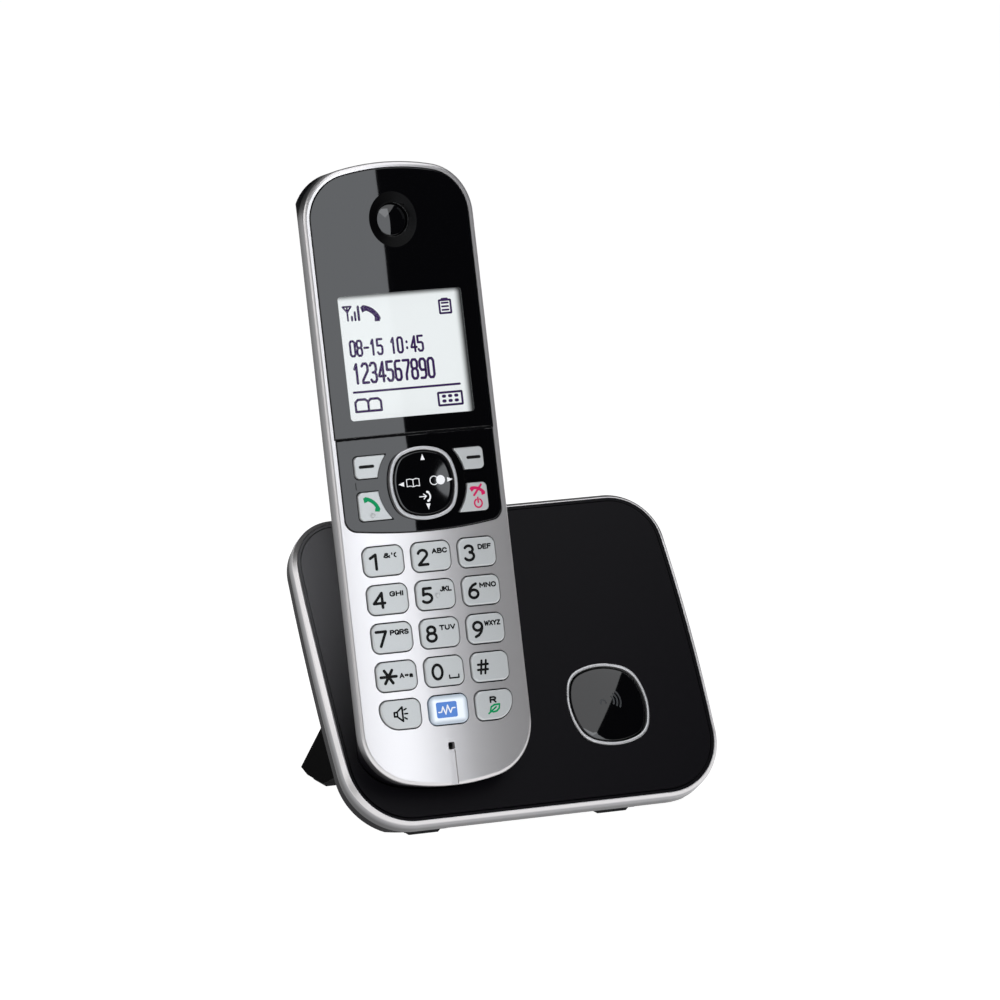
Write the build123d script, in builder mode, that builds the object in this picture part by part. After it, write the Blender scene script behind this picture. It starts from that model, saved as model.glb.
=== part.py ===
"""Cordless phone standing in its desk base, every piece a separate solid.

World frame: X to the right of someone facing the phone, Y to the back, Z up, table top at Z = 0.
Two leaning frames carry the design, both with x to the right, y up the lean and z out of the front:
slab_plane on the face of the base, handset_plane on the tops of the handset's middle column of keys.
"""
from build123d import *
import os
from math import cos, radians, sin, tan

os.makedirs("parts", exist_ok=True)

# ---------------------------------------------------------------- driving dimensions, millimetres
# Base slab
SLAB_LEAN = 34.8
SLAB_FOOT_Y = -37.33
SLAB_FOOT_Z = 5.2
SLAB_HALF_WIDTH = 55.7
SLAB_BOTTOM = -1.0
SLAB_TOP = 88.5
SLAB_SIDE_BULGE = 1.2
SLAB_TOP_RADIUS = 14.5
SLAB_BOTTOM_RADIUS = 18.0
SLAB_CROWN_RADIUS = 800.0
SLAB_EDGE_LEVEL = -0.4
BAND_WIDTH = 1.15
BAND_DEPTH_BOTTOM = 5.0
BAND_DEPTH_TOP = 2.9
BAND_CHAMFER = 0.95
FACE_LEDGE = 0.75
FACE_GROOVE = 0.35
COVER_WALL = 2.0
RIM_DEPTH = 3.2
BODY_INSET = 4.5
BODY_TAPER = 35.0
BODY_BACK_LEAN = 20.0
BODY_BACK_TOP_Y = SLAB_FOOT_Y + 52.5
BODY_BACK_TOP_Z = 66.2
HOUSING_WALL = 2.0
FLOOR_GAP = 1.1

# Locator button on the base
LOCATOR_CENTRE = (25.1, 26.9)
LOCATOR_RING = 11.9
LOCATOR_RING_WIDTH = 0.85
LOCATOR_GAP = 0.4

# Handset
HANDSET_LEAN = 15.9
HANDSET_SEAT = (-27.9, 6.16, 9.0)
HANDSET_HALF_WIDTH = 24.8
HANDSET_BOTTOM = -0.3
HANDSET_TOP = 167.3
HANDSET_TOP_ARC = 66.0
HANDSET_BOTTOM_ARC = 56.0
HANDSET_TOP_RADIUS = 14.0
HANDSET_BOTTOM_RADIUS = 15.0
CROWN_RADIUS = 157.0
FACE_LEVEL = -0.7
SPLIT_LEVEL = -6.5
SKIRT_LEVEL = -10.5
BACK_LEVEL = -24.6
SKIRT_TAPER = 21.0
HULL_TAPER = 30.0
FRAME_WALL = 1.8
RIM_WIDTH = 1.55
CRADLE_GAP = 0.5
CRADLE_WALL = 1.6

# Keys
KEY_PITCH_X = 13.6
KEY_PITCH_Y = 10.27
KEY_BOTTOM_ROW = 19.85
KEY_HOLE = (11.8, 8.4)
KEY_GAP = 0.35
SIDE_KEY_GAP = 0.3
KEY_CORNER = 2.4
KEY_BIG_CORNER = 5.6
KEY_FOOT = -3.2
SOFT_OUTER = 19.0
SOFT_TOP = 89.4
SOFT_BOTTOM = 82.9
CALL_TOP = 79.8
CALL_BOTTOM = 71.6
SIDE_KEY_CURVE = 12.7
NAV_CENTRE = (0.0, 80.6)
NAV_RING = 9.85
NAV_RING_WIDTH = 0.95
NAV_GAP = 0.4

# Display and earpiece
PANEL_SEAM = 94.0
PANEL_HALF_WIDTH = 23.0
PANEL_BOTTOM = 67.6
PANEL_THICK = 1.2
PANEL_GAP = 0.25
WINDOW_SIZE = (36.0, 33.4)
WINDOW_CENTRE = (0.0, 115.4)
EAR_CENTRE = (0.2, 151.6)

# Fasteners
SCREW_RADIUS = 1.0
SCREW_HEAD = 2.0
FRAME_BOSS = 2.2
HOUSING_BOSS = 3.0
BASE_SCREW_SEAT = -7.4

# Battery
CELL_RADIUS = 5.15
CELL_LENGTH = 44.0
CELL_LEVEL = -19.2
BAY = (24.0, 48.0)
BAY_CENTRE = (0.0, 90.0)
DOOR = (29.0, 52.0)

# ---------------------------------------------------------------- frames
slab_up = (0, sin(radians(SLAB_LEAN)), cos(radians(SLAB_LEAN)))
slab_out = (0, -cos(radians(SLAB_LEAN)), sin(radians(SLAB_LEAN)))
slab_foot = Vector(0, SLAB_FOOT_Y, SLAB_FOOT_Z)
slab_plane = Plane(origin=slab_foot, x_dir=(1, 0, 0), z_dir=slab_out)
slab_side = Plane(origin=slab_foot, x_dir=slab_up, z_dir=(1, 0, 0))

handset_up = (0, sin(radians(HANDSET_LEAN)), cos(radians(HANDSET_LEAN)))
handset_out = (0, -cos(radians(HANDSET_LEAN)), sin(radians(HANDSET_LEAN)))
handset_seat = slab_plane.from_local_coords(HANDSET_SEAT)
handset_plane = Plane(origin=handset_seat, x_dir=(1, 0, 0), z_dir=handset_out)
handset_side = Plane(origin=handset_seat, x_dir=handset_up, z_dir=(1, 0, 0))


def save(piece, name):
    """Label a finished piece and write it to its own file."""
    piece.part.label = name
    export_step(piece.part, f"parts/{name}.step")


# ---------------------------------------------------------------- shared outlines and solids
def handset_outline(inset=0.0):
    """Front view of the handset: shallow arcs at both ends, large corners."""
    half = HANDSET_HALF_WIDTH
    top_sag = half**2 / (2 * HANDSET_TOP_ARC)
    bottom_sag = half**2 / (2 * HANDSET_BOTTOM_ARC)
    with BuildSketch(Plane.XY) as outline:
        with BuildLine():
            top = ThreePointArc(
                (-half, HANDSET_TOP - top_sag), (0, HANDSET_TOP), (half, HANDSET_TOP - top_sag)
            )
            bottom = ThreePointArc(
                (half, HANDSET_BOTTOM + bottom_sag), (0, HANDSET_BOTTOM), (-half, HANDSET_BOTTOM + bottom_sag)
            )
            Line(top @ 1, bottom @ 0)
            Line(bottom @ 1, top @ 0)
        make_face()
        fillet(outline.vertices().group_by(Axis.Y)[-1], HANDSET_TOP_RADIUS)
        fillet(outline.vertices().group_by(Axis.Y)[0], HANDSET_BOTTOM_RADIUS)
        if inset:
            offset(amount=-inset, kind=Kind.INTERSECTION)
    return outline.sketch


def slab_outline(inset=0.0):
    """Front view of the base slab: bulged sides, tighter corners at the top."""
    half = SLAB_HALF_WIDTH
    shoulder = half - SLAB_SIDE_BULGE
    middle = (SLAB_TOP + SLAB_BOTTOM) / 2
    with BuildSketch(Plane.XY) as outline:
        with BuildLine():
            right = ThreePointArc((shoulder, SLAB_BOTTOM), (half, middle), (shoulder, SLAB_TOP))
            left = ThreePointArc((-shoulder, SLAB_TOP), (-half, middle), (-shoulder, SLAB_BOTTOM))
            Line(right @ 1, left @ 0)
            Line(left @ 1, right @ 0)
        make_face()
        fillet(outline.vertices().group_by(Axis.Y)[-1], SLAB_TOP_RADIUS)
        fillet(outline.vertices().group_by(Axis.Y)[0], SLAB_BOTTOM_RADIUS)
        if inset:
            offset(amount=-inset, kind=Kind.INTERSECTION)
    return outline.sketch


def pebble(radius):
    """Round-cornered square with bulged sides, as wide as twice the radius."""
    corner = radius * 0.781
    with BuildSketch(Plane.XY) as outline:
        with BuildLine():
            for turn in range(4):
                start = Vector(-corner, corner).rotate(Axis.Z, -90 * turn)
                middle = Vector(0, radius).rotate(Axis.Z, -90 * turn)
                end = Vector(corner, corner).rotate(Axis.Z, -90 * turn)
                ThreePointArc(start, middle, end)
        make_face()
        fillet(outline.vertices(), radius * 0.6)
    return outline.sketch


def under_crown(level, floor=-40.0, width=80.0):
    """Block under the handset's crowned face: a cylinder along the handset, its crest at the level."""
    drop = (width / 2) ** 2 / (2 * CROWN_RADIUS)
    end_plane = Plane(origin=handset_plane.from_local_coords((0, -20, 0)), x_dir=(1, 0, 0), z_dir=handset_up)
    with BuildPart() as block:
        with BuildSketch(end_plane):
            with BuildLine():
                crest = ThreePointArc((-width / 2, drop - level), (0, -level), (width / 2, drop - level))
                Polyline(crest @ 1, (width / 2, -floor), (-width / 2, -floor), crest @ 0)
            make_face()
        extrude(amount=210)
    return block.part


def under_slab_crown(level, depth_bottom, depth_top):
    """Block under the slab's crowned face, its back sloping from one depth to the other."""
    low, high = -6.0, 96.0
    middle = (SLAB_TOP + SLAB_BOTTOM) / 2
    half = (SLAB_TOP - SLAB_BOTTOM) / 2
    crest = level + half**2 / (2 * SLAB_CROWN_RADIUS)

    def face(height):
        return crest - (height - middle) ** 2 / (2 * SLAB_CROWN_RADIUS)

    with BuildPart() as block:
        with BuildSketch(slab_side):
            with BuildLine():
                front = ThreePointArc((low, face(low)), (middle, crest), (high, face(high)))
                Polyline(front @ 1, (high, level - depth_top), (low, level - depth_bottom), front @ 0)
            make_face()
        extrude(amount=80, both=True)
    return block.part


def flanks(grow):
    """Block as wide as the handset at the split, its sides drawn in behind it along the whole length."""
    end_plane = Plane(origin=handset_plane.from_local_coords((0, -20, 0)), x_dir=(1, 0, 0), z_dir=handset_up)
    side = HANDSET_HALF_WIDTH + grow
    skirt = side - (SPLIT_LEVEL - SKIRT_LEVEL) * tan(radians(SKIRT_TAPER))
    floor = BACK_LEVEL - 6
    back = skirt - (SKIRT_LEVEL - floor) * tan(radians(HULL_TAPER))
    half_section = [(side, -10), (side, -SPLIT_LEVEL), (skirt, -SKIRT_LEVEL), (back, -floor)]
    with BuildPart() as block:
        with BuildSketch(end_plane):
            with BuildLine():
                Polyline(*half_section, *[(-across, depth) for across, depth in reversed(half_section)], close=True)
            make_face()
        extrude(amount=210)
    return block.part


def hull(grow=0.0):
    """Rear half of the handset: straight skirt, tapered flanks, back rising towards the chin and the top."""
    with BuildPart() as shape:
        with BuildSketch(handset_plane.offset(SPLIT_LEVEL)):
            add(handset_outline(-grow))
        extrude(amount=SKIRT_LEVEL - SPLIT_LEVEL)
        with BuildSketch(handset_plane.offset(SKIRT_LEVEL)):
            add(handset_outline(-grow))
        extrude(amount=BACK_LEVEL - SKIRT_LEVEL - 4, taper=HULL_TAPER)
        with BuildSketch(handset_side):
            with BuildLine():
                chin = ThreePointArc((-6 - grow, -15 - grow), (12, -22.6 - grow), (36, BACK_LEVEL - grow))
                back = Line(chin @ 1, (122, BACK_LEVEL - grow))
                crown = ThreePointArc(back @ 1, (148, -23 - grow), (174 + grow, -17 - grow))
                Polyline(crown @ 1, (174 + grow, 5), (-6 - grow, 5), chin @ 0)
            make_face()
        extrude(amount=40, both=True, mode=Mode.INTERSECT)
        add(flanks(grow), mode=Mode.INTERSECT)
    return shape.part


def crowned_prism(outline, floor, level):
    """Outline on the handset's face, raised from a flat floor to the crowned level."""
    with BuildPart() as prism:
        with BuildSketch(handset_plane.offset(floor)):
            add(outline)
        extrude(amount=level - floor + 1)
        add(under_crown(level), mode=Mode.INTERSECT)
    return prism.part


def handset_block(outline, floor, level):
    """Outline on the handset's face, extruded between two flat levels."""
    with BuildPart() as block:
        with BuildSketch(handset_plane.offset(floor)):
            add(outline)
        extrude(amount=level - floor)
    return block.part


def handset_rod(points, radius, floor, level):
    """Round rods square to the handset's face."""
    with BuildPart() as rods:
        with BuildSketch(handset_plane.offset(floor)):
            with Locations(*points):
                Circle(radius)
        extrude(amount=level - floor)
    return rods.part


def slab_block(outline, floor, level):
    """Outline on the slab's face, extruded between two flat levels."""
    with BuildPart() as block:
        with BuildSketch(slab_plane.offset(floor)):
            add(outline)
        extrude(amount=level - floor)
    return block.part


def rounded(centre, size, radius):
    """Rounded rectangle as a plain sketch."""
    with BuildSketch(Plane.XY) as outline:
        with Locations(centre):
            RectangleRounded(size[0], size[1], radius)
    return outline.sketch


def display_panel_outline(inset=0.0):
    """Upper gloss panel: the handset's outline inside its rim, above the seam."""
    low = PANEL_SEAM + inset
    with BuildSketch(Plane.XY) as outline:
        add(handset_outline(RIM_WIDTH + inset))
        with Locations((0, (low + HANDSET_TOP) / 2)):
            Rectangle(2 * HANDSET_HALF_WIDTH, HANDSET_TOP - low, mode=Mode.INTERSECT)
    return outline.sketch


def key_panel_outline(inset=0.0):
    """Lower gloss panel: straight sides, shallow arc below, round lower corners."""
    half = PANEL_HALF_WIDTH - inset
    low = PANEL_BOTTOM + inset
    with BuildSketch(Plane.XY) as outline:
        with BuildLine():
            arc = ThreePointArc((-half, low + 1.9), (0, low), (half, low + 1.9))
            Polyline(arc @ 1, (half, PANEL_SEAM - inset), (-half, PANEL_SEAM - inset), arc @ 0)
        make_face()
        fillet(outline.vertices().group_by(Axis.Y)[0], 3.5)
    return outline.sketch


def dial_outline(centre, inset=0.0, big_corner=None):
    """Dial key: a rounded rectangle; the lowest outer keys have one large corner."""
    width, height = KEY_HOLE[0] - 2 * inset, KEY_HOLE[1] - 2 * inset
    with BuildSketch(Plane.XY) as outline:
        with Locations(centre):
            Rectangle(width, height)
        corners = outline.vertices()
        if big_corner:
            side = -1 if big_corner == "left" else 1
            big = (centre[0] + side * width / 2, centre[1] - height / 2)
            fillet(corners.sort_by_distance(big)[0], KEY_BIG_CORNER - inset)
            corners = outline.vertices().sort_by_distance(big)[2:]
        fillet(corners, KEY_CORNER - inset)
    return outline.sketch


def side_outline(side, low, high, inset=0.0):
    """Soft, talk and off keys: square outside, hollowed round the navigator inside."""
    inner = SIDE_KEY_CURVE + inset
    outer_edge = SOFT_OUTER - inset
    low, high = low + inset, high - inset
    reach = max(abs(low - NAV_CENTRE[1]), abs(high - NAV_CENTRE[1]))
    inner_edge = (inner**2 - reach**2) ** 0.5 + 0.3
    with BuildSketch(Plane.XY) as outline:
        with Locations((side * (outer_edge + inner_edge) / 2, (low + high) / 2)):
            Rectangle(outer_edge - inner_edge, high - low)
        with Locations(NAV_CENTRE):
            Circle(inner, mode=Mode.SUBTRACT)
        outer_corners = outline.vertices().filter_by(lambda v: abs(v.X) > outer_edge - 0.1)
        inner_corners = outline.vertices().filter_by(lambda v: abs(v.X) < outer_edge - 0.1)
        fillet(outer_corners, 1.3)
        fillet(inner_corners, 0.6)
    return outline.sketch


# ---------------------------------------------------------------- the keys and their places
columns = [-KEY_PITCH_X, 0.0, KEY_PITCH_X]
rows = [KEY_BOTTOM_ROW + KEY_PITCH_Y * step for step in range(5)]
dial_keys = {
    "key_1": (0, 4, None),
    "key_2": (1, 4, None),
    "key_3": (2, 4, None),
    "key_4": (0, 3, None),
    "key_5": (1, 3, None),
    "key_6": (2, 3, None),
    "key_7": (0, 2, None),
    "key_8": (1, 2, None),
    "key_9": (2, 2, None),
    "key_star": (0, 1, None),
    "key_0": (1, 1, None),
    "key_hash": (2, 1, None),
    "key_speaker": (0, 0, "left"),
    "key_quick": (1, 0, None),
    "key_recall": (2, 0, "right"),
}
side_keys = {
    "soft_key_left": (-1, SOFT_BOTTOM, SOFT_TOP),
    "soft_key_right": (1, SOFT_BOTTOM, SOFT_TOP),
    "talk_key": (-1, CALL_BOTTOM, CALL_TOP),
    "off_key": (1, CALL_BOTTOM, CALL_TOP),
}
handset_screw_points = [(-14.7, 141), (14.7, 141), (-9, 11), (9, 11)]

front_axis = Axis(handset_seat, handset_out)

for name, (column, row, corner) in dial_keys.items():
    with BuildPart() as key:
        outline = dial_outline((columns[column], rows[row]), KEY_GAP, corner)
        add(crowned_prism(outline, KEY_FOOT, 0.0))
        fillet(key.faces().sort_by(front_axis)[-1].edges(), 0.45)
    save(key, name)

for name, (side, low, high) in side_keys.items():
    with BuildPart() as key:
        add(crowned_prism(side_outline(side, low, high, SIDE_KEY_GAP), KEY_FOOT, -0.05))
        fillet(key.faces().sort_by(front_axis)[-1].edges(), 0.2)
    save(key, name)

# ---------------------------------------------------------------- navigator
def nav_outline(radius):
    """Pebble outline centred on the navigator."""
    with BuildSketch(Plane.XY) as outline:
        with Locations(NAV_CENTRE):
            add(pebble(radius))
    return outline.sketch


with BuildPart() as navigator_ring:
    add(handset_block(nav_outline(NAV_RING), -2.6, 0.45))
    add(handset_block(nav_outline(NAV_RING - NAV_RING_WIDTH), -2.6, 0.45), mode=Mode.SUBTRACT)
    fillet(navigator_ring.faces().sort_by(front_axis)[-1].edges(), 0.25)
save(navigator_ring, "navigator_ring")

NAV_DISH_RADIUS = 46.0
NAV_DISH_FLOOR = -0.3
with BuildPart() as navigator_key:
    add(handset_block(nav_outline(NAV_RING - NAV_RING_WIDTH - NAV_GAP), KEY_FOOT, 1.2))
    with Locations(handset_plane.from_local_coords((*NAV_CENTRE, NAV_DISH_FLOOR + NAV_DISH_RADIUS))):
        Sphere(NAV_DISH_RADIUS, mode=Mode.SUBTRACT)
    fillet(navigator_key.faces().sort_by(front_axis)[-1].edges(), 0.3)
save(navigator_key, "navigator_key")

with BuildPart() as navigator_pivot:
    add(handset_rod([NAV_CENTRE], 2.0, -3.85, -3.45))
save(navigator_pivot, "navigator_pivot")

# ---------------------------------------------------------------- handset front frame
with BuildPart() as handset_front_frame:
    add(crowned_prism(handset_outline(), SPLIT_LEVEL, FACE_LEVEL))
    fillet(handset_front_frame.faces().sort_by(front_axis)[-1].edges(), 1.0)
    add(crowned_prism(handset_outline(FRAME_WALL), SPLIT_LEVEL, FACE_LEVEL - FRAME_WALL), mode=Mode.SUBTRACT)
    with BuildPart(mode=Mode.PRIVATE) as recess:
        add(handset_block(display_panel_outline(), -5, 1))
        add(handset_block(key_panel_outline(), -5, 1))
        with BuildSketch(handset_plane.offset(-5)):
            with Locations((0, PANEL_SEAM)):
                Rectangle(2 * PANEL_HALF_WIDTH, 1)
        extrude(amount=6)
        add(under_crown(FACE_LEVEL - PANEL_THICK), mode=Mode.SUBTRACT)
    add(recess.part, mode=Mode.SUBTRACT)
    with BuildPart(mode=Mode.PRIVATE) as bosses:
        add(handset_rod(handset_screw_points, FRAME_BOSS, -7.9, -1.0))
        add(under_crown(FACE_LEVEL - PANEL_THICK), mode=Mode.INTERSECT)
        add(handset_rod(handset_screw_points, SCREW_RADIUS, -7.9, -4.4), mode=Mode.SUBTRACT)
    add(bosses.part)
    add(handset_block(rounded(WINDOW_CENTRE, (41.5, 39.5), 1.0), -8, 1), mode=Mode.SUBTRACT)
    add(handset_rod([EAR_CENTRE], 8.0, -8, 1), mode=Mode.SUBTRACT)
    add(handset_block(key_panel_outline(1.6), -8, 1), mode=Mode.SUBTRACT)
    for column, row, corner in dial_keys.values():
        hole = dial_outline((columns[column], rows[row]), 0.0, corner)
        add(handset_block(hole, -8, 1), mode=Mode.SUBTRACT)
    add(handset_block(rounded((-0.2, 10.2), (1.9, 1.9), 0.4), -8, 1), mode=Mode.SUBTRACT)
    with BuildPart(mode=Mode.PRIVATE) as groove:
        add(handset_block(rounded((-0.2, 3.6), (1.9, 11.2), 0.4), -4, 1))
        add(under_crown(FACE_LEVEL - 0.45), mode=Mode.SUBTRACT)
    add(groove.part, mode=Mode.SUBTRACT)
save(handset_front_frame, "handset_front_frame")

# ---------------------------------------------------------------- gloss panels and display
EAR_DISH = 7.4
EAR_DISH_DEPTH = 0.95
EAR_HOLE = 4.6
ear_sphere = (EAR_DISH**2 + EAR_DISH_DEPTH**2) / (2 * EAR_DISH_DEPTH)

with BuildPart() as display_panel:
    add(crowned_prism(display_panel_outline(PANEL_GAP), FACE_LEVEL - 5, FACE_LEVEL))
    add(under_crown(FACE_LEVEL - PANEL_THICK), mode=Mode.SUBTRACT)
    fillet(display_panel.faces().sort_by(front_axis)[-1].edges(), 0.2)
    with Locations(handset_plane.from_local_coords((*EAR_CENTRE, FACE_LEVEL - EAR_DISH_DEPTH + ear_sphere))):
        Sphere(ear_sphere, mode=Mode.SUBTRACT)
    add(handset_rod([EAR_CENTRE], EAR_HOLE, -6, 2), mode=Mode.SUBTRACT)
    add(handset_block(rounded(WINDOW_CENTRE, WINDOW_SIZE, 0.9), -6, 2), mode=Mode.SUBTRACT)
save(display_panel, "display_panel")

with BuildPart() as display_window:
    glass = (WINDOW_SIZE[0] - 0.1, WINDOW_SIZE[1] - 0.1)
    add(crowned_prism(rounded(WINDOW_CENTRE, glass, 0.85), FACE_LEVEL - 5, FACE_LEVEL - 0.05))
    add(under_crown(FACE_LEVEL - PANEL_THICK), mode=Mode.SUBTRACT)
save(display_window, "display_window")

with BuildPart() as lcd_glass:
    add(handset_block(rounded(WINDOW_CENTRE, (39.5, 37.5), 0.5), -4.6, -3.45))
save(lcd_glass, "lcd_glass")

with BuildPart() as lcd_backlight:
    add(handset_block(rounded(WINDOW_CENTRE, (40.5, 38.5), 0.8), -5.95, -4.6))
save(lcd_backlight, "lcd_backlight")

BRIDGE = (6.2, 2.0)
BRIDGE_HEIGHT = (SOFT_BOTTOM + CALL_TOP) / 2
bridge_points = [(-15.7, BRIDGE_HEIGHT), (15.7, BRIDGE_HEIGHT)]

with BuildPart() as key_panel:
    add(crowned_prism(key_panel_outline(PANEL_GAP), FACE_LEVEL - 5, FACE_LEVEL))
    add(under_crown(FACE_LEVEL - PANEL_THICK), mode=Mode.SUBTRACT)
    fillet(key_panel.faces().sort_by(front_axis)[-1].edges(), 0.2)
    for side, low, high in side_keys.values():
        add(handset_block(side_outline(side, low, high), -6, 2), mode=Mode.SUBTRACT)
    for point in bridge_points:
        add(handset_block(rounded(point, BRIDGE, 0.3), -6, 2), mode=Mode.SUBTRACT)
    add(handset_block(nav_outline(NAV_RING), -6, 2), mode=Mode.SUBTRACT)
save(key_panel, "key_panel")

with BuildPart() as key_bridges:
    for point in bridge_points:
        add(crowned_prism(rounded(point, BRIDGE, 0.3), FACE_LEVEL - 2.4, FACE_LEVEL + 0.35))
save(key_bridges, "key_bridges")

GASKET_CLEAR = 0.03
GASKET_DROP = 0.5
with BuildPart() as panel_gasket:
    add(handset_block(display_panel_outline(GASKET_CLEAR), -4, 1))
    add(handset_block(key_panel_outline(GASKET_CLEAR), -4, 1))
    with BuildSketch(handset_plane.offset(-4)):
        with Locations((0, PANEL_SEAM)):
            Rectangle(2 * (PANEL_HALF_WIDTH - GASKET_CLEAR), 0.4)
    extrude(amount=5)
    add(handset_block(display_panel_outline(PANEL_GAP - GASKET_CLEAR), -5, 2), mode=Mode.SUBTRACT)
    add(handset_block(key_panel_outline(PANEL_GAP - GASKET_CLEAR), -5, 2), mode=Mode.SUBTRACT)
    add(under_crown(FACE_LEVEL - GASKET_DROP), mode=Mode.INTERSECT)
    add(under_crown(FACE_LEVEL - PANEL_THICK), mode=Mode.SUBTRACT)
save(panel_gasket, "panel_gasket")

# ---------------------------------------------------------------- inside the handset
with BuildPart() as earpiece_mesh:
    add(handset_rod([EAR_CENTRE], 5.2, -2.35, -2.05))
save(earpiece_mesh, "earpiece_mesh")

with BuildPart() as earpiece_speaker:
    add(handset_rod([EAR_CENTRE], 5.2, -3.2, -2.35))
    add(handset_rod([EAR_CENTRE], 7.5, -5.6, -3.2))
save(earpiece_speaker, "earpiece_speaker")

with BuildPart() as keypad_mat:
    add(handset_block(rounded((0, 52.5), (39, 77), 3), -5.95, -4.05))
save(keypad_mat, "keypad_mat")

with BuildPart() as handset_circuit_board:
    with BuildSketch(handset_plane.offset(-7.15)):
        add(handset_outline(3.2))
        with Locations(*handset_screw_points):
            Circle(2.6, mode=Mode.SUBTRACT)
    extrude(amount=1.2)
save(handset_circuit_board, "handset_circuit_board")

with BuildPart() as microphone:
    add(handset_rod([(-0.2, 10.2)], 2.0, -5.95, -4.2))
save(microphone, "microphone")

with BuildPart() as ringer_speaker:
    add(handset_rod([(0, 138)], 8.0, -20.5, -17.5))
    add(handset_rod([(0, 138)], 5.0, -17.5, -15.5))
save(ringer_speaker, "ringer_speaker")

with BuildPart() as handset_antenna:
    add(handset_block(rounded((0, 160.5), (18, 2.4), 0.8), -13.5, -7.15))
save(handset_antenna, "handset_antenna")

cell_columns = (-CELL_RADIUS - 0.25, CELL_RADIUS + 0.25)


def along_handset(points, radius, low, high):
    """Round rods lying along the handset; each point is across and out from the face."""
    plane = Plane(origin=handset_plane.from_local_coords((0, low, 0)), x_dir=(1, 0, 0), z_dir=handset_up)
    with BuildPart() as rods:
        with BuildSketch(plane):
            with Locations(*[(across, -out) for across, out in points]):
                Circle(radius)
        extrude(amount=high - low)
    return rods.part


cell_low = BAY_CENTRE[1] - CELL_LENGTH / 2
cell_high = BAY_CENTRE[1] + CELL_LENGTH / 2
with BuildPart() as battery_cells:
    add(along_handset([(x, CELL_LEVEL) for x in cell_columns], CELL_RADIUS, cell_low + 0.5, cell_high - 0.8))
    add(along_handset([(x, CELL_LEVEL) for x in cell_columns], 1.9, cell_high - 0.8, cell_high))
save(battery_cells, "battery_cells")

with BuildPart() as battery_contacts:
    for across in cell_columns:
        plate = rounded((across, cell_low - 1.6), (8, 0.4), 0.15)
        add(handset_block(plate, CELL_LEVEL - 4, CELL_LEVEL + 4))
        add(along_handset([(across, CELL_LEVEL)], 2.6, cell_low - 1.4, cell_low + 0.4))
        plate = rounded((across, cell_high + 0.4), (8, 0.4), 0.15)
        add(handset_block(plate, CELL_LEVEL - 4, CELL_LEVEL + 4))
save(battery_contacts, "battery_contacts")

# ---------------------------------------------------------------- handset rear housing
CONTACT_COLUMNS = (-8.0, 8.0)
CONTACT_LEVEL = -14.0
CONTACT_RECESS = 4.4
BAY_FLOOR = -13.3
BAY_WALL = 1.2
bay_top = (BAY[0] + 2 * BAY_WALL, BAY[1] + 2 * BAY_WALL)

with BuildPart() as handset_rear_housing:
    add(hull())
    back_edges = handset_rear_housing.faces().sort_by(front_axis)[0].edges()
    fillet(back_edges.filter_by(lambda e: e.length > 60), 3.0)
    add(hull(-FRAME_WALL), mode=Mode.SUBTRACT)
    with BuildPart(mode=Mode.PRIVATE) as bosses:
        add(handset_rod(handset_screw_points, HOUSING_BOSS, BACK_LEVEL, -9.0))
        add(handset_block(rounded(BAY_CENTRE, bay_top, 1.0), BACK_LEVEL, BAY_FLOOR + BAY_WALL))
        add(hull(-0.4), mode=Mode.INTERSECT)
    add(bosses.part)
    add(handset_block(rounded(BAY_CENTRE, BAY, 0.6), -40, BAY_FLOOR), mode=Mode.SUBTRACT)
    add(handset_rod(handset_screw_points, SCREW_RADIUS + 0.1, -40, 0), mode=Mode.SUBTRACT)
    add(handset_rod(handset_screw_points, SCREW_HEAD + 0.2, -40, -14.0), mode=Mode.SUBTRACT)
    with BuildSketch(handset_plane.offset(-40)):
        with Locations((0, 138)):
            with GridLocations(2.4, 1, 5, 1):
                SlotOverall(9, 1.1, rotation=90)
    extrude(amount=18, mode=Mode.SUBTRACT)
    for across in CONTACT_COLUMNS:
        recess = rounded((across, CONTACT_RECESS / 2 - 1), (5.0, CONTACT_RECESS + 2), 0.4)
        add(handset_block(recess, CONTACT_LEVEL - 2.2, CONTACT_LEVEL + 2.2), mode=Mode.SUBTRACT)
        strip = rounded((across, CONTACT_RECESS + 0.2), (6.0, 0.4), 0.1)
        add(handset_block(strip, CONTACT_LEVEL - 2.8, CONTACT_LEVEL + 2.8), mode=Mode.SUBTRACT)
save(handset_rear_housing, "handset_rear_housing")

with BuildPart() as handset_charge_contacts:
    for across in CONTACT_COLUMNS:
        strip = rounded((across, CONTACT_RECESS + 0.2), (6.0, 0.4), 0.1)
        add(handset_block(strip, CONTACT_LEVEL - 2.8, CONTACT_LEVEL + 2.8))
save(handset_charge_contacts, "handset_charge_contacts")

with BuildPart() as handset_screws:
    add(handset_rod(handset_screw_points, SCREW_RADIUS, -14.0, -4.5))
    add(handset_rod(handset_screw_points, SCREW_HEAD, -15.2, -14.0))
save(handset_screws, "handset_screws")

with BuildPart() as battery_door:
    add(handset_block(rounded(BAY_CENTRE, DOOR, 3.0), BACK_LEVEL - 2.3, BACK_LEVEL - 0.1))
    fillet(battery_door.faces().sort_by(front_axis)[0].edges(), 1.5)
    with BuildSketch(handset_plane.offset(BACK_LEVEL - 3)):
        with Locations((0, BAY_CENTRE[1] - 12)):
            with GridLocations(1, 2.2, 1, 5):
                SlotOverall(13, 0.9)
    extrude(amount=1.2, mode=Mode.SUBTRACT)
save(battery_door, "battery_door")

# ---------------------------------------------------------------- base cover with its cradle pocket
def under_cover(level):
    """Block under the crowned face of the base, down to the split with the rear housing."""
    return under_slab_crown(SLAB_EDGE_LEVEL + level, BAND_DEPTH_BOTTOM + level, BAND_DEPTH_TOP + level)


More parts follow.
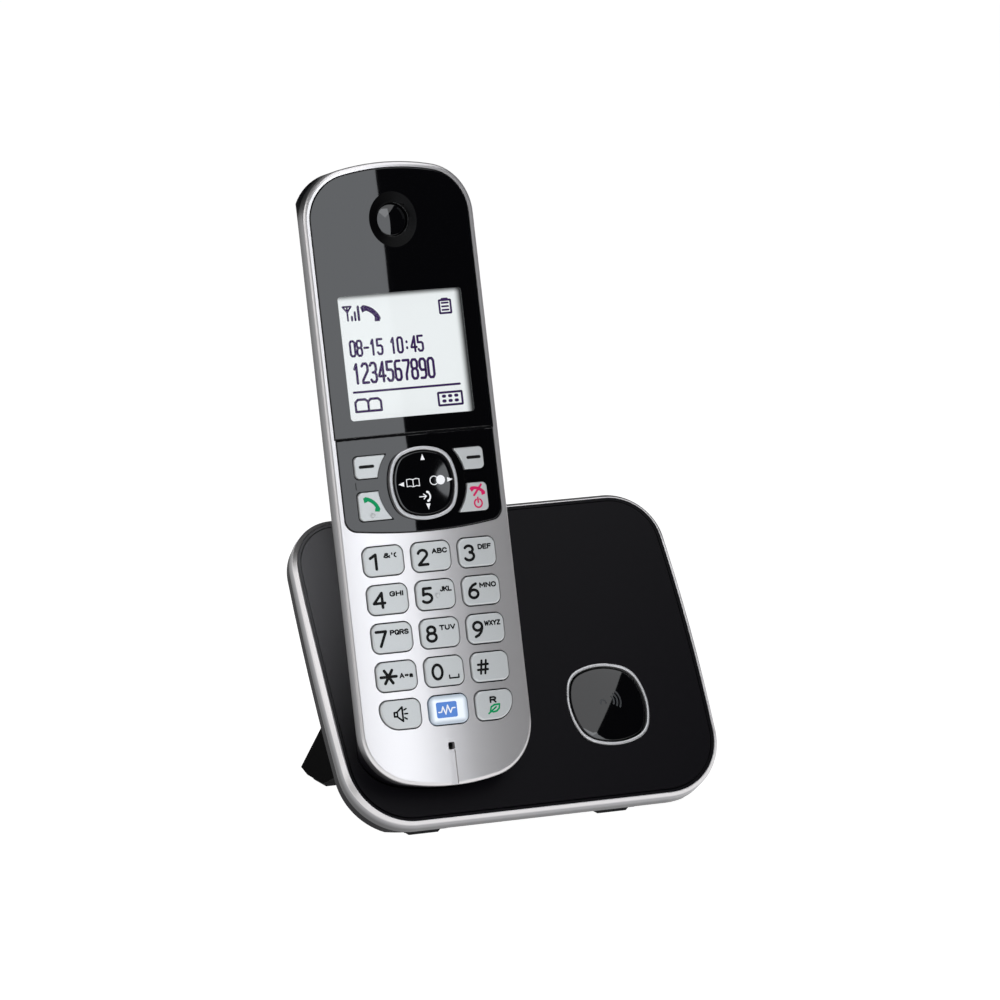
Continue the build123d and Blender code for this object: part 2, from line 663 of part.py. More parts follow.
def slab_trench(outer, inner, depth):
    """Ring between two insets of the slab's outline, above the crowned face lowered by a depth."""
    with BuildPart() as trench:
        with BuildSketch(slab_plane.offset(-3)):
            add(slab_outline(outer))
            if inner:
                add(slab_outline(inner), mode=Mode.SUBTRACT)
        extrude(amount=8)
        add(under_cover(-depth), mode=Mode.SUBTRACT)
    return trench.part


def seat_block(outline, low, high):
    """Outline square to the handset's axis, each point across and out from its face, between two heights."""
    plane = Plane(origin=handset_plane.from_local_coords((0, low, 0)), x_dir=(1, 0, 0), z_dir=handset_up)
    with BuildPart() as block:
        with BuildSketch(plane):
            add(outline)
        extrude(amount=high - low)
    return block.part


def slab_rod(points, radius, floor, level):
    """Round rods square to the slab's face."""
    with BuildPart() as rods:
        with BuildSketch(slab_plane.offset(floor)):
            with Locations(*points):
                Circle(radius)
        extrude(amount=level - floor)
    return rods.part


def locator_outline(radius):
    """Pebble outline centred on the locator button."""
    with BuildSketch(Plane.XY) as outline:
        with Locations(LOCATOR_CENTRE):
            add(pebble(radius))
    return outline.sketch


PIN_RADIUS = 1.2
PIN_GAP = 0.07
COVER_EDGE = BAND_WIDTH + 0.05
LEDGE_INSET = COVER_EDGE + FACE_LEDGE
LEDGE_DEPTH = 0.25
GROOVE_DEPTH = 0.8
base_screw_points = [(49.3, 18), (49.3, 68), (-49.3, 70), (-6, 3.4)]
pin_points = [(across, CONTACT_LEVEL) for across in CONTACT_COLUMNS]

with BuildPart() as base_cover:
    add(slab_block(slab_outline(COVER_EDGE), -9, 4))
    add(under_cover(0.0), mode=Mode.INTERSECT)
    with BuildPart(mode=Mode.PRIVATE) as cavity:
        add(slab_block(slab_outline(COVER_EDGE + COVER_WALL), -9, 4))
        add(under_slab_crown(SLAB_EDGE_LEVEL - COVER_WALL, 20, 20), mode=Mode.INTERSECT)
    add(cavity.part, mode=Mode.SUBTRACT)
    with BuildPart(mode=Mode.PRIVATE) as pocket_wall:
        add(hull(CRADLE_GAP + CRADLE_WALL))
        add(under_slab_crown(SLAB_EDGE_LEVEL - 0.5, 30, 30), mode=Mode.INTERSECT)
        with BuildSketch(slab_plane.offset(-30)):
            add(slab_outline(COVER_EDGE + 0.4))
        extrude(amount=40, mode=Mode.INTERSECT)
    add(pocket_wall.part)
    add(hull(CRADLE_GAP), mode=Mode.SUBTRACT)
    add(slab_rod(base_screw_points, FRAME_BOSS, -5.2, -1.5))
    add(slab_trench(0.0, LEDGE_INSET, LEDGE_DEPTH), mode=Mode.SUBTRACT)
    add(slab_trench(LEDGE_INSET - 0.01, LEDGE_INSET + FACE_GROOVE, GROOVE_DEPTH), mode=Mode.SUBTRACT)
    add(slab_block(locator_outline(LOCATOR_RING), -8, 4), mode=Mode.SUBTRACT)
    add(along_handset(pin_points, PIN_RADIUS + PIN_GAP, -4, 4), mode=Mode.SUBTRACT)
    add(slab_rod(base_screw_points, SCREW_RADIUS, -12, -2.5), mode=Mode.SUBTRACT)
save(base_cover, "base_cover")

with BuildPart() as base_band:
    add(slab_block(slab_outline(), -9, 4))
    add(under_cover(0.0), mode=Mode.INTERSECT)
    slab_axis = Axis(slab_foot, slab_out)
    chamfer(base_band.faces().sort_by(slab_axis)[-1].edges(), BAND_CHAMFER)
    add(slab_block(slab_outline(BAND_WIDTH), -9, 4), mode=Mode.SUBTRACT)
save(base_band, "base_band")

# ---------------------------------------------------------------- locator button
LOCATOR_RING_FOOT = -2.2
LOCATOR_RING_TOP = 1.05
LOCATOR_DOME_TOP = 1.35
LOCATOR_DOME_RADIUS = 75.0
locator_face = LOCATOR_RING - LOCATOR_RING_WIDTH - LOCATOR_GAP

with BuildPart() as locator_ring:
    ring_hole = locator_outline(LOCATOR_RING - LOCATOR_RING_WIDTH)
    add(slab_block(locator_outline(LOCATOR_RING), LOCATOR_RING_FOOT, LOCATOR_RING_TOP))
    add(slab_block(ring_hole, LOCATOR_RING_FOOT, LOCATOR_RING_TOP), mode=Mode.SUBTRACT)
    fillet(locator_ring.faces().sort_by(slab_axis)[-1].edges(), 0.3)
save(locator_ring, "locator_ring")

with BuildPart() as locator_button:
    add(slab_block(locator_outline(locator_face), -1.7, 4))
    with Locations(slab_plane.from_local_coords((*LOCATOR_CENTRE, LOCATOR_DOME_TOP - LOCATOR_DOME_RADIUS))):
        Sphere(LOCATOR_DOME_RADIUS, mode=Mode.INTERSECT)
    fillet(locator_button.faces().sort_by(slab_axis)[-1].edges(), 0.4)
save(locator_button, "locator_button")

BOARD_TOP = -6.0
with BuildPart() as locator_switch:
    add(slab_block(rounded(LOCATOR_CENTRE, (6.2, 6.2), 0.3), BOARD_TOP, BOARD_TOP + 2.0))
    add(slab_rod([LOCATOR_CENTRE], 1.7, BOARD_TOP + 2.0, BOARD_TOP + 2.9))
save(locator_switch, "locator_switch")

with BuildPart() as base_circuit_board:
    add(slab_block(rounded((23.6, 43), (42.2, 65), 1.5), BOARD_TOP - 1.2, BOARD_TOP))
save(base_circuit_board, "base_circuit_board")

# ---------------------------------------------------------------- sprung contacts under the cradle
HOLDER_LOW = -4.4
HOLDER_HIGH = -1.85
FLANGE = (-2.6, -2.1)
CONTACT_TRAVEL = 0.8

with BuildPart() as contact_holder:
    add(seat_block(rounded((0, 0.3 - CONTACT_LEVEL), (22.5, 5.6), 0.8), HOLDER_LOW, HOLDER_HIGH))
    add(along_handset(pin_points, PIN_RADIUS + PIN_GAP, HOLDER_LOW - 1, HOLDER_HIGH + 1), mode=Mode.SUBTRACT)
    add(along_handset(pin_points, 2.3, FLANGE[0] - CONTACT_TRAVEL - 0.1, HOLDER_HIGH + 1), mode=Mode.SUBTRACT)
save(contact_holder, "contact_holder")

for name, point in zip(("charge_contact_left", "charge_contact_right"), pin_points):
    with BuildPart() as contact:
        add(along_handset([point], PIN_RADIUS, HOLDER_LOW + 0.2, CONTACT_RECESS - 0.4))
        add(along_handset([point], 1.9, *FLANGE))
        fillet(contact.edges().sort_by(Axis(handset_seat, handset_up))[-1], 0.5)
    save(contact, name)

# ---------------------------------------------------------------- base rear housing
def slab_slice(front_drop, back_drop):
    """Slab-shaped slice behind the split, between two depths measured from it."""
    low, high = -6.0, 96.0
    front_low = SLAB_EDGE_LEVEL - BAND_DEPTH_BOTTOM
    front_high = SLAB_EDGE_LEVEL - BAND_DEPTH_TOP
    with BuildPart() as block:
        with BuildSketch(slab_side):
            with BuildLine():
                Polyline(
                    (low, front_low - front_drop),
                    (high, front_high - front_drop),
                    (high, front_high - back_drop),
                    (low, front_low - back_drop),
                    close=True,
                )
            make_face()
        extrude(amount=80, both=True)
    return block.part


def body_back_y(height):
    """Y of the rear body's back face at a height above the table."""
    return BODY_BACK_TOP_Y - (BODY_BACK_TOP_Z - height) * tan(radians(BODY_BACK_LEAN))


def rear_shape(inset, opening):
    """Rim and wedge body of the rear housing, shrunk by an inset; the opening is cut ahead of the split."""
    floor = FLOOR_GAP + inset
    with BuildPart() as shape:
        with BuildSketch(slab_plane.offset(-16)):
            add(slab_outline(0.4 + inset))
        extrude(amount=18)
        add(slab_slice(-9.0, RIM_DEPTH - inset * 0.75), mode=Mode.INTERSECT)
        with BuildPart(mode=Mode.PRIVATE) as body:
            with BuildSketch(slab_plane.offset(-8)):
                add(slab_outline(BODY_INSET + inset))
            extrude(amount=-45, taper=BODY_TAPER)
            with BuildSketch(slab_plane.offset(-8)):
                add(slab_outline(BODY_INSET + inset))
            extrude(amount=6)
        add(body.part)
        add(slab_slice(-opening, 60), mode=Mode.INTERSECT)
        with BuildSketch(Plane.YZ):
            with BuildLine():
                Polyline(
                    (-60, floor),
                    (body_back_y(floor) - inset, floor),
                    (body_back_y(110) - inset, 110),
                    (-60, 110),
                    close=True,
                )
            make_face()
        extrude(amount=80, both=True, mode=Mode.INTERSECT)
    return shape.part


FEET_X = (-33.6, 22.1)
FRONT_FOOT = (10.3, 6.5)
FRONT_FOOT_Y = SLAB_FOOT_Y + 8.2
JACK_Z = 12.6
LINE_JACK_X = 6.0
LINE_JACK = (13.5, 10.5, 12.4)
LINE_SOCKET = (9.6, 8.5, 7.0)
DC_JACK_X = -8.5
DC_JACK = (9.0, 9.0, 9.0)
DC_HOLE_RADIUS = 2.9
DC_PIN_RADIUS = 0.8
jack_y = body_back_y(JACK_Z - LINE_JACK[2] / 2)


def world_box(centre, size):
    """Plain box on world axes."""
    with BuildPart() as block:
        with Locations(centre):
            Box(*size)
    return block.part


def world_rod(centre, radius, length):
    """Rod along Y whose back end is at the centre point."""
    with BuildPart() as rod:
        with BuildSketch(Plane(origin=centre, x_dir=(1, 0, 0), z_dir=(0, -1, 0))):
            Circle(radius)
        extrude(amount=length)
    return rod.part


with BuildPart() as base_rear_housing:
    add(rear_shape(0.0, 0.0))
    with BuildPart(mode=Mode.PRIVATE) as foot_bosses:
        for x in FEET_X:
            boss = (FRONT_FOOT[0] + 2, FRONT_FOOT[1] + 2, 6.0)
            add(world_box((x, FRONT_FOOT_Y + 0.5, FLOOR_GAP + 3.0), boss))
        add(slab_slice(0, 60), mode=Mode.INTERSECT)
    add(foot_bosses.part)
    add(rear_shape(HOUSING_WALL, 4.0), mode=Mode.SUBTRACT)
    with BuildPart(mode=Mode.PRIVATE) as screw_bosses:
        add(slab_rod(base_screw_points, SCREW_HEAD + 1.4, -30, -5.6))
        add(rear_shape(0.3, 0.0), mode=Mode.INTERSECT)
    add(screw_bosses.part)
    for x, size in ((LINE_JACK_X, LINE_JACK), (DC_JACK_X, DC_JACK)):
        opening = (size[0] + 0.4, 12, size[2] + 0.4)
        add(world_box((x, jack_y + 2, JACK_Z), opening), mode=Mode.SUBTRACT)
    add(slab_rod(base_screw_points, SCREW_RADIUS + 0.1, -14, -4), mode=Mode.SUBTRACT)
    add(slab_rod(base_screw_points, SCREW_HEAD + 0.2, -30, BASE_SCREW_SEAT), mode=Mode.SUBTRACT)
save(base_rear_housing, "base_rear_housing")

with BuildPart() as line_jack:
    add(world_box((LINE_JACK_X, jack_y - LINE_JACK[1] / 2, JACK_Z), LINE_JACK))
    add(world_box((LINE_JACK_X, jack_y - LINE_SOCKET[1] / 2, JACK_Z), LINE_SOCKET), mode=Mode.SUBTRACT)
save(line_jack, "line_jack")

with BuildPart() as dc_jack:
    add(world_box((DC_JACK_X, jack_y - DC_JACK[1] / 2, JACK_Z), DC_JACK))
    add(world_rod((DC_JACK_X, jack_y, JACK_Z), DC_HOLE_RADIUS, 7.5), mode=Mode.SUBTRACT)
    add(world_rod((DC_JACK_X, jack_y - 1.0, JACK_Z), DC_PIN_RADIUS, 7.0))
save(dc_jack, "dc_jack")

# ---------------------------------------------------------------- stand and feet
LEG_WIDTH = 10.3
HEEL_Y = SLAB_FOOT_Y + 77.7
HEEL_Z = 2.4
TOE_Y = SLAB_FOOT_Y + 62.2
SOLE_Z = 1.2
LEG_TOP_Z = 38.0
LEG_ROOT_Z = 14.0
PLATE = (2.4, 24.0)

with BuildPart() as base_stand:
    for x in FEET_X:
        with BuildSketch(Plane.YZ.offset(x)):
            with BuildLine():
                Polyline(
                    (body_back_y(LEG_TOP_Z), LEG_TOP_Z),
                    (HEEL_Y, HEEL_Z),
                    (HEEL_Y - 4.5, SOLE_Z),
                    (TOE_Y, SOLE_Z),
                    (body_back_y(LEG_ROOT_Z), LEG_ROOT_Z),
                    close=True,
                )
            make_face()
        extrude(amount=LEG_WIDTH / 2, both=True)
    with BuildSketch(Plane.YZ.offset(sum(FEET_X) / 2)):
        with BuildLine():
            low, high = LEG_TOP_Z - 8, LEG_TOP_Z + 14
            Polyline(
                (body_back_y(low), low),
                (body_back_y(high), high),
                (body_back_y(high) + PLATE[0], high),
                (body_back_y(low) + PLATE[0], low),
                close=True,
            )
        make_face()
    extrude(amount=(FEET_X[1] - FEET_X[0] + LEG_WIDTH) / 2, both=True)
save(base_stand, "base_stand")


def pads(centre_y, size, height):
    """A pair of rubber feet whose sides flare upwards from the table."""
    with BuildPart() as feet:
        with BuildSketch(Plane.XY.offset(height)):
            with Locations(*[(x, centre_y) for x in FEET_X]):
                RectangleRounded(size[0], size[1], 1.0)
        extrude(amount=-height, taper=38)
    return feet.part


with BuildPart() as front_feet:
    add(pads(FRONT_FOOT_Y, FRONT_FOOT, FLOOR_GAP))
save(front_feet, "front_feet")

with BuildPart() as rear_feet:
    add(pads((TOE_Y + HEEL_Y - 4.5) / 2, (LEG_WIDTH - 1, HEEL_Y - 4.5 - TOE_Y - 0.6), SOLE_Z))
save(rear_feet, "rear_feet")

with BuildPart() as base_screws:
    add(slab_rod(base_screw_points, SCREW_RADIUS, BASE_SCREW_SEAT, -2.6))
    add(slab_rod(base_screw_points, SCREW_HEAD, BASE_SCREW_SEAT - 1.2, BASE_SCREW_SEAT))
save(base_screws, "base_screws")
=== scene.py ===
# %% [markdown]
# # A cordless phone in its desk base
# The shapes of the phone come from a CAD model that is loaded as a fixed frame. This lesson dresses it:
# every solid gets a finish made of nodes, and the printed legends, the display picture, the raised dots
# and the glossy earpiece are modelled on top. Everything is in metres, X to the right of someone facing
# the keys, Y to the back and Z up.

# %% Load the frame
from math import atan2, cos, cosh, log, pi, radians, sin, sqrt

import bmesh
import bpy
from mathutils import Matrix, Vector


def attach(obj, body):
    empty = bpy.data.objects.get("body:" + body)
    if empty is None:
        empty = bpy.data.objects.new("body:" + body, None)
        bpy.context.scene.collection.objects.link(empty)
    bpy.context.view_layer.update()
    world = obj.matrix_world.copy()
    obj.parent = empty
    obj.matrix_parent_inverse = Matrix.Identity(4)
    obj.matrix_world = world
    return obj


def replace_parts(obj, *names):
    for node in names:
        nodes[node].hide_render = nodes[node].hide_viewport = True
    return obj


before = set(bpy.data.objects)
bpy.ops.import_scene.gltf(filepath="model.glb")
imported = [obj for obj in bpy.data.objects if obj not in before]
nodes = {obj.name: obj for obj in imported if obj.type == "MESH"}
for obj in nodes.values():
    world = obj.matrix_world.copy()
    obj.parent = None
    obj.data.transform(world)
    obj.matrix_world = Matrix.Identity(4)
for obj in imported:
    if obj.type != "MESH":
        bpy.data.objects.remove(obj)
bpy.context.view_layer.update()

# %% [markdown]
# The phone leans back twice: the base by 34.8 degrees and the handset in it by 15.9 degrees. Two matrices
# turn millimetres on the face of each, across, up and outwards, into places in the world, so a legend can
# be given where it sits on its key, and the lean is written once. The handset's face is part of a wide
# cylinder, so a place away from the middle lies a little lower than the crest.

# %% Two leaning frames
MM = 0.001
bpy.context.scene.view_settings.view_transform = "Standard"


def leaning(origin, lean):
    """Matrix from millimetres across, up and out of a leaning face to metres in the world."""
    lean = radians(lean)
    up = Vector((0, sin(lean), cos(lean)))
    out = Vector((0, -cos(lean), sin(lean)))
    turn = Matrix((Vector((1, 0, 0)), up, out)).transposed().to_4x4()
    return Matrix.Translation(origin) @ turn @ Matrix.Scale(MM, 4)


SLAB = leaning(Vector((0, -0.03733, 0.0052)), 34.8)
HANDSET = leaning(SLAB @ Vector((-27.9, 6.16, 9.0)), 15.9)
CROWN = 157.0
FACE = -0.7
LCD_FACE = -3.45


def crowned(across, level):
    """Height of the handset's cylindrical face, whose crest is at the level, at a place across it."""
    return level - CROWN + sqrt(CROWN**2 - across**2)


print("handset seat", tuple(round(v, 4) for v in HANDSET.translation))

# %% [markdown]
# ## Camera
# A long lens from well back keeps the verticals nearly parallel. The camera stands a little to the left
# and looks slightly down. Its place follows from the point it aims at, the two angles and the distance,
# which is easier to adjust than a place and a turn typed in by hand.

# %% Camera
AIM = Vector((-0.00009, -0.00733, 0.08352))
AZIMUTH, ELEVATION, DISTANCE = radians(24.513), radians(11.941), 1.8839
ahead = Vector((sin(AZIMUTH) * cos(ELEVATION), cos(AZIMUTH) * cos(ELEVATION), -sin(ELEVATION)))
eye = AIM - ahead * DISTANCE

lens = bpy.data.cameras.new("camera")
lens.sensor_width = 36
lens.lens = 251.26
lens.clip_end = 30
camera = bpy.data.objects.new("camera", lens)
camera.matrix_world = Matrix.Translation(eye) @ ahead.to_track_quat("-Z", "Y").to_matrix().to_4x4()
bpy.context.scene.collection.objects.link(camera)
bpy.context.scene.camera = camera
print("camera at", tuple(round(v, 3) for v in eye))

# %% [markdown]
# ## Lights
# Gloss black shows almost nothing but what it mirrors, so the lights are placed by mirroring the view.
# Where the view of a point lands after it is mirrored there is where a light has to stand to show in it.
# The rest of the surroundings stay dark, which keeps the black deep.


# %% Lights placed by mirrored rays
def mirrored(point, normal, reach):
    """Where the view of a point lands after it is mirrored there, at a distance from it."""
    view = (point - eye).normalized()
    return point + (view - 2 * view.dot(normal) * normal) * reach


def softbox(name, corner, along, aside, radiance, tint=(1, 1, 1)):
    """Rectangular light with one corner given, and two sides as vectors, facing the phone."""
    centre = corner + along / 2 + aside / 2
    x_axis, y_axis = aside.normalized(), along.normalized()
    y_axis = (y_axis - x_axis * y_axis.dot(x_axis)).normalized()
    z_axis = x_axis.cross(y_axis)
    if z_axis.dot(centre - AIM) < 0:
        x_axis, z_axis = -x_axis, -z_axis
    light = bpy.data.lights.new(name, "AREA")
    light.shape = "RECTANGLE"
    light.size, light.size_y = aside.length, along.length
    light.energy = radiance * pi * aside.length * along.length
    light.color = tint
    place = bpy.data.objects.new(name, light)
    place.matrix_world = Matrix.Translation(centre) @ Matrix((x_axis, y_axis, z_axis)).transposed().to_4x4()
    bpy.context.scene.collection.objects.link(place)
    size = (round(aside.length, 2), round(along.length, 2))
    print(name, "at", tuple(round(v, 2) for v in centre), "size", size)


# %% [markdown]
# A strip softbox in front makes the grey reflection on the left of the display panel. Its right edge is
# the line where that reflection ends, found from two mirrored points low and high on the panel, and its
# width comes from a third one near the panel's left side.

# %% Front strip
REFLECTION_EDGE, PANEL_LEFT = -3.3, -24.0
STRIP_REACH = 1.2


def face_mirror(across, up):
    """Where the view of a place on the handset's face lands."""
    normal = (HANDSET.to_3x3() @ Vector((across / CROWN, 0, 1))).normalized()
    return mirrored(HANDSET @ Vector((across, up, crowned(across, FACE))), normal, STRIP_REACH)


low_edge = face_mirror(REFLECTION_EDGE, 60)
high_edge = face_mirror(REFLECTION_EDGE, 168)
edge_line = (high_edge - low_edge).normalized()
aside = face_mirror(PANEL_LEFT, 120) - (low_edge + high_edge) / 2
aside -= edge_line * aside.dot(edge_line)
softbox("front_strip", low_edge - edge_line * 0.3, edge_line * 0.75, aside * 1.12, 2.9, (0.92, 0.955, 1.0))

# %% [markdown]
# A second softbox above does the same for the domed locator button: its edge runs through the views of
# two points on the dome, so half of the button mirrors it and the other half stays black.

# %% Roof light
BUTTON_DOME = 75.0
BUTTON_MIDDLE = Vector((25.1, 26.9))
ROOF_REACH = 0.75
roof_points = []
for place in (Vector((19.9, 19.4)), Vector((31.9, 36.2))):
    tilt = (place - BUTTON_MIDDLE) / BUTTON_DOME
    normal = (SLAB.to_3x3() @ Vector((tilt.x, tilt.y, 1))).normalized()
    roof_points.append(mirrored(SLAB @ Vector((place.x, place.y, 1.0)), normal, ROOF_REACH))
roof_line = (roof_points[1] - roof_points[0]).normalized()
roof_middle = (roof_points[0] + roof_points[1]) / 2
to_phone = (AIM - roof_middle).normalized()
roof_aside = roof_line.cross(to_phone).normalized()
if roof_aside.x > 0:
    roof_aside = -roof_aside
softbox("roof_box", roof_middle - roof_line * 0.35, roof_line * 0.9, roof_aside * 0.8, 1.8, (0.97, 0.98, 1.0))

# %% [markdown]
# Three smaller lights follow. One stands where the left ridge of the base's band mirrors it, one lights
# the flanks from the left, and one comes from behind and above, for the rear. A very dim sky fills in.

# %% Ridge, side and back lights
RIDGE_POINT = Vector((-55.2, 45.0, -0.9))
RIDGE_REACH = 0.9
ridge_normal = (SLAB.to_3x3() @ Vector((-1, 0, 1))).normalized()
ridge_corner = mirrored(SLAB @ RIDGE_POINT, ridge_normal, RIDGE_REACH) - Vector((0.1, 0.35, 0.25))
softbox("ridge_box", ridge_corner, Vector((0.0, 0.0, 0.5)), Vector((0.2, 0.7, 0.0)), 1.8)

softbox("side_box", Vector((-1.5, -0.9, 0.15)), Vector((0, 0, 1.0)), Vector((0.6, -0.7, 0)), 1.0)
softbox("back_box", Vector((-0.5, 0.9, 0.9)), Vector((0, 0.5, 0.5)), Vector((1.2, 0, 0)), 1.0)

world = bpy.data.worlds.new("room")
world.use_nodes = True
world.node_tree.nodes["Background"].inputs["Color"].default_value = (0.9, 0.93, 1.0, 1)
world.node_tree.nodes["Background"].inputs["Strength"].default_value = 0.012
bpy.context.scene.world = world

# %% [markdown]
# ## Node helpers
# Every finish is a small graph of nodes round a Principled shader. These helpers make the shader with its
# plain values, add a node with its settings, and add a ramp between two colours.


# %% Node helpers
def new_material(name, **sockets):
    """Principled material with plain values on its own sockets."""
    material = bpy.data.materials.new(name)
    material.use_nodes = True
    shader = material.node_tree.nodes["Principled BSDF"]
    for socket, value in sockets.items():
        shader.inputs[socket.replace("_", " ")].default_value = value
    return material, material.node_tree, shader


def add_node(tree, kind, **values):
    """Node of a kind; keys that name an input fill it, and the others set the node's own settings."""
    node = tree.nodes.new(kind)
    for key, value in values.items():
        label = key.replace("_", " ")
        if hasattr(node, key):
            setattr(node, key, value)
        else:
            node.inputs[label].default_value = value
    return node


def ramp(tree, factor, low, high):
    """Ramp that turns a factor from 0 to 1 into a colour from low to high."""
    tones = add_node(tree, "ShaderNodeValToRGB")
    tones.color_ramp.elements[0].color = (*low, 1)
    tones.color_ramp.elements[1].color = (*high, 1)
    tree.links.new(factor, tones.inputs["Fac"])
    return tones


# %% [markdown]
# ## Floor
# The table is a plain white sheet, large enough to fill the view. It could be a plane lit by the softboxes
# alone, but then it would turn grey far from them, so it also gives out a little light of its own, and
# the shadow under the base stays soft.

# %% Floor
floor_mesh = bpy.data.meshes.new("table_top")
sheet = bmesh.new()
bmesh.ops.create_grid(sheet, x_segments=1, y_segments=1, size=6)
sheet.to_mesh(floor_mesh)
floor = bpy.data.objects.new("table_top", floor_mesh)
bpy.context.scene.collection.objects.link(floor)
floor_white, tree, shader = new_material(
    "table_white", Base_Color=(0.35, 0.35, 0.35, 1), Roughness=0.7,
    Emission_Color=(1, 1, 1, 1), Emission_Strength=1.0,
)
floor_mesh.materials.append(floor_white)
print("floor", tuple(round(v, 1) for v in floor.dimensions))

# %% [markdown]
# ## Finishes
# The phone has few finishes, each with its own grain: a satin silver paint with fine flakes, gloss black
# with the faint unevenness of moulded plastic, a matt black with a fine eroded texture, and small amounts
# of rubber, metal and display glass. One helper makes them: noise drives a small bump and the roughness,
# in object space, so the grain has a true size in millimetres and stays put when a part moves.


# %% Finish helper
def finish(name, colour, grain, bump, rough, spread=0.0, shade=0.0, **sockets):
    """Finish with grain of a size in millimetres, a bump height in micrometres, and a span of roughness."""
    material, tree, shader = new_material(name, Base_Color=(*colour, 1), Roughness=rough, **sockets)
    coordinates = add_node(tree, "ShaderNodeTexCoord")
    noise = add_node(tree, "ShaderNodeTexNoise", Scale=1 / (grain * MM), Detail=3.0)
    tree.links.new(coordinates.outputs["Object"], noise.inputs["Vector"])
    relief = add_node(tree, "ShaderNodeBump", Distance=bump * 1e-6, Strength=1.0)
    tree.links.new(noise.outputs["Fac"], relief.inputs["Height"])
    tree.links.new(relief.outputs["Normal"], shader.inputs["Normal"])
    if spread:
        span = add_node(tree, "ShaderNodeMapRange", To_Min=rough - spread, To_Max=rough + spread)
        tree.links.new(noise.outputs["Fac"], span.inputs["Value"])
        tree.links.new(span.outputs["Result"], shader.inputs["Roughness"])
    if shade:
        darker, lighter = ([min(1.0, part * factor) for part in colour] for factor in (1 - shade, 1 + shade))
        tones = ramp(tree, noise.outputs["Fac"], darker, lighter)
        tones.color_ramp.elements[0].position = 0.3
        tones.color_ramp.elements[1].position = 0.7
        tree.links.new(tones.outputs["Color"], shader.inputs["Base Color"])
    return material


# %% [markdown]
# Each line below is one finish: its colour, the size of its grain, the height of its bump, its roughness,
# and how much the roughness and the colour wander. Black plastics differ mostly in roughness and in how
# strongly they mirror, so those two are set one by one.

# %% Plain finishes
MATT_TONE = (0.004, 0.0036, 0.005)
ring_silver = finish("ring_silver", (0.5, 0.5, 0.51), 0.15, 3, 0.3, 0.03, 0.03, Metallic=0.8)
key_silver = finish("key_silver", (0.56, 0.58, 0.585), 0.15, 5, 0.42, 0.04, 0.04, Metallic=0.35)
gloss_black = finish("gloss_black", (0.0015, 0.0015, 0.002), 6.0, 1.5, 0.03, Specular_IOR_Level=0.55)
matt_black = finish("matt_black", MATT_TONE, 0.22, 12, 0.34, 0.05, 0.12, Specular_IOR_Level=0.07)
leg_black = finish("leg_black", (0.0012, 0.0012, 0.0014), 0.3, 12, 0.8, 0.05, 0.12, Specular_IOR_Level=0.02)
deep_black = finish("deep_black", (0.0012, 0.0012, 0.0014), 0.5, 2, 0.28, 0.02, Specular_IOR_Level=0.06)
smooth_black = finish("smooth_black", (0.008, 0.008, 0.009), 0.5, 6, 0.3, 0.03)
rubber = finish("rubber", (0.005, 0.005, 0.006), 0.3, 20, 0.75, 0.05, 0.1, Specular_IOR_Level=0.1)
board = finish("board_green", (0.02, 0.14, 0.05), 1.2, 10, 0.4, 0.05, 0.2)
steel = finish("steel", (0.55, 0.55, 0.55), 0.3, 6, 0.32, 0.05, 0.08, Metallic=1.0)
nickel = finish("nickel", (0.72, 0.69, 0.62), 0.3, 4, 0.2, 0.05, 0.05, Metallic=1.0)
mat_grey = finish("silicone_grey", (0.03, 0.031, 0.034), 0.5, 15, 0.6, 0.05, 0.05)
wrap = finish("cell_wrap", (0.05, 0.22, 0.09), 1.5, 10, 0.3, 0.04, 0.1)
milk = finish("diffuser_white", (0.85, 0.88, 0.9), 0.8, 5, 0.4, 0.03, 0.02)
cloth = finish("speaker_cloth", (0.01, 0.01, 0.011), 0.25, 40, 0.85, 0.05, 0.3)
print("finishes", len(bpy.data.materials))

# %% [markdown]
# The window over the display is clear acrylic. A thin slab of glass would cost many light paths, so it is
# mostly transparent, with a small share of gloss on top.

# %% Clear window
clear = bpy.data.materials.new("window_clear")
clear.use_nodes = True
tree = clear.node_tree
tree.nodes.remove(tree.nodes["Principled BSDF"])
through = add_node(tree, "ShaderNodeBsdfTransparent", Color=(0.97, 0.98, 0.98, 1))
shine = add_node(tree, "ShaderNodeBsdfGlossy", Roughness=0.03, Color=(1, 1, 1, 1))
blend = add_node(tree, "ShaderNodeMixShader")
blend.inputs[0].default_value = 0.006
tree.links.new(through.outputs["BSDF"], blend.inputs[1])
tree.links.new(shine.outputs["BSDF"], blend.inputs[2])
tree.links.new(blend.outputs["Shader"], tree.nodes["Material Output"].inputs["Surface"])
print(clear.name, "share of gloss", round(blend.inputs[0].default_value, 3))

# %% [markdown]
# ## Display
# The display is lit from behind, so it gives out a pale bluish white. Towards the top and the right the
# white falls off softly within two millimetres, a painted shade for the frame that keeps light off. A Mapping
# node turns world places back into the handset's own millimetres, so the painted fall-off follows the leaning
# edges.


# %% Local millimetres in a material
def local_axes(tree, frame_matrix):
    """Across, up and out of a leaning face, in millimetres, as three outputs."""
    back = frame_matrix.inverted()
    coordinates = add_node(tree, "ShaderNodeTexCoord")
    mapping = add_node(tree, "ShaderNodeMapping", vector_type="POINT")
    mapping.inputs["Location"].default_value = back.translation
    mapping.inputs["Rotation"].default_value = back.to_euler()
    mapping.inputs["Scale"].default_value = back.to_scale()
    split = add_node(tree, "ShaderNodeSeparateXYZ")
    tree.links.new(coordinates.outputs["Object"], mapping.inputs["Vector"])
    tree.links.new(mapping.outputs["Vector"], split.inputs["Vector"])
    return split.outputs["X"], split.outputs["Y"], split.outputs["Z"]


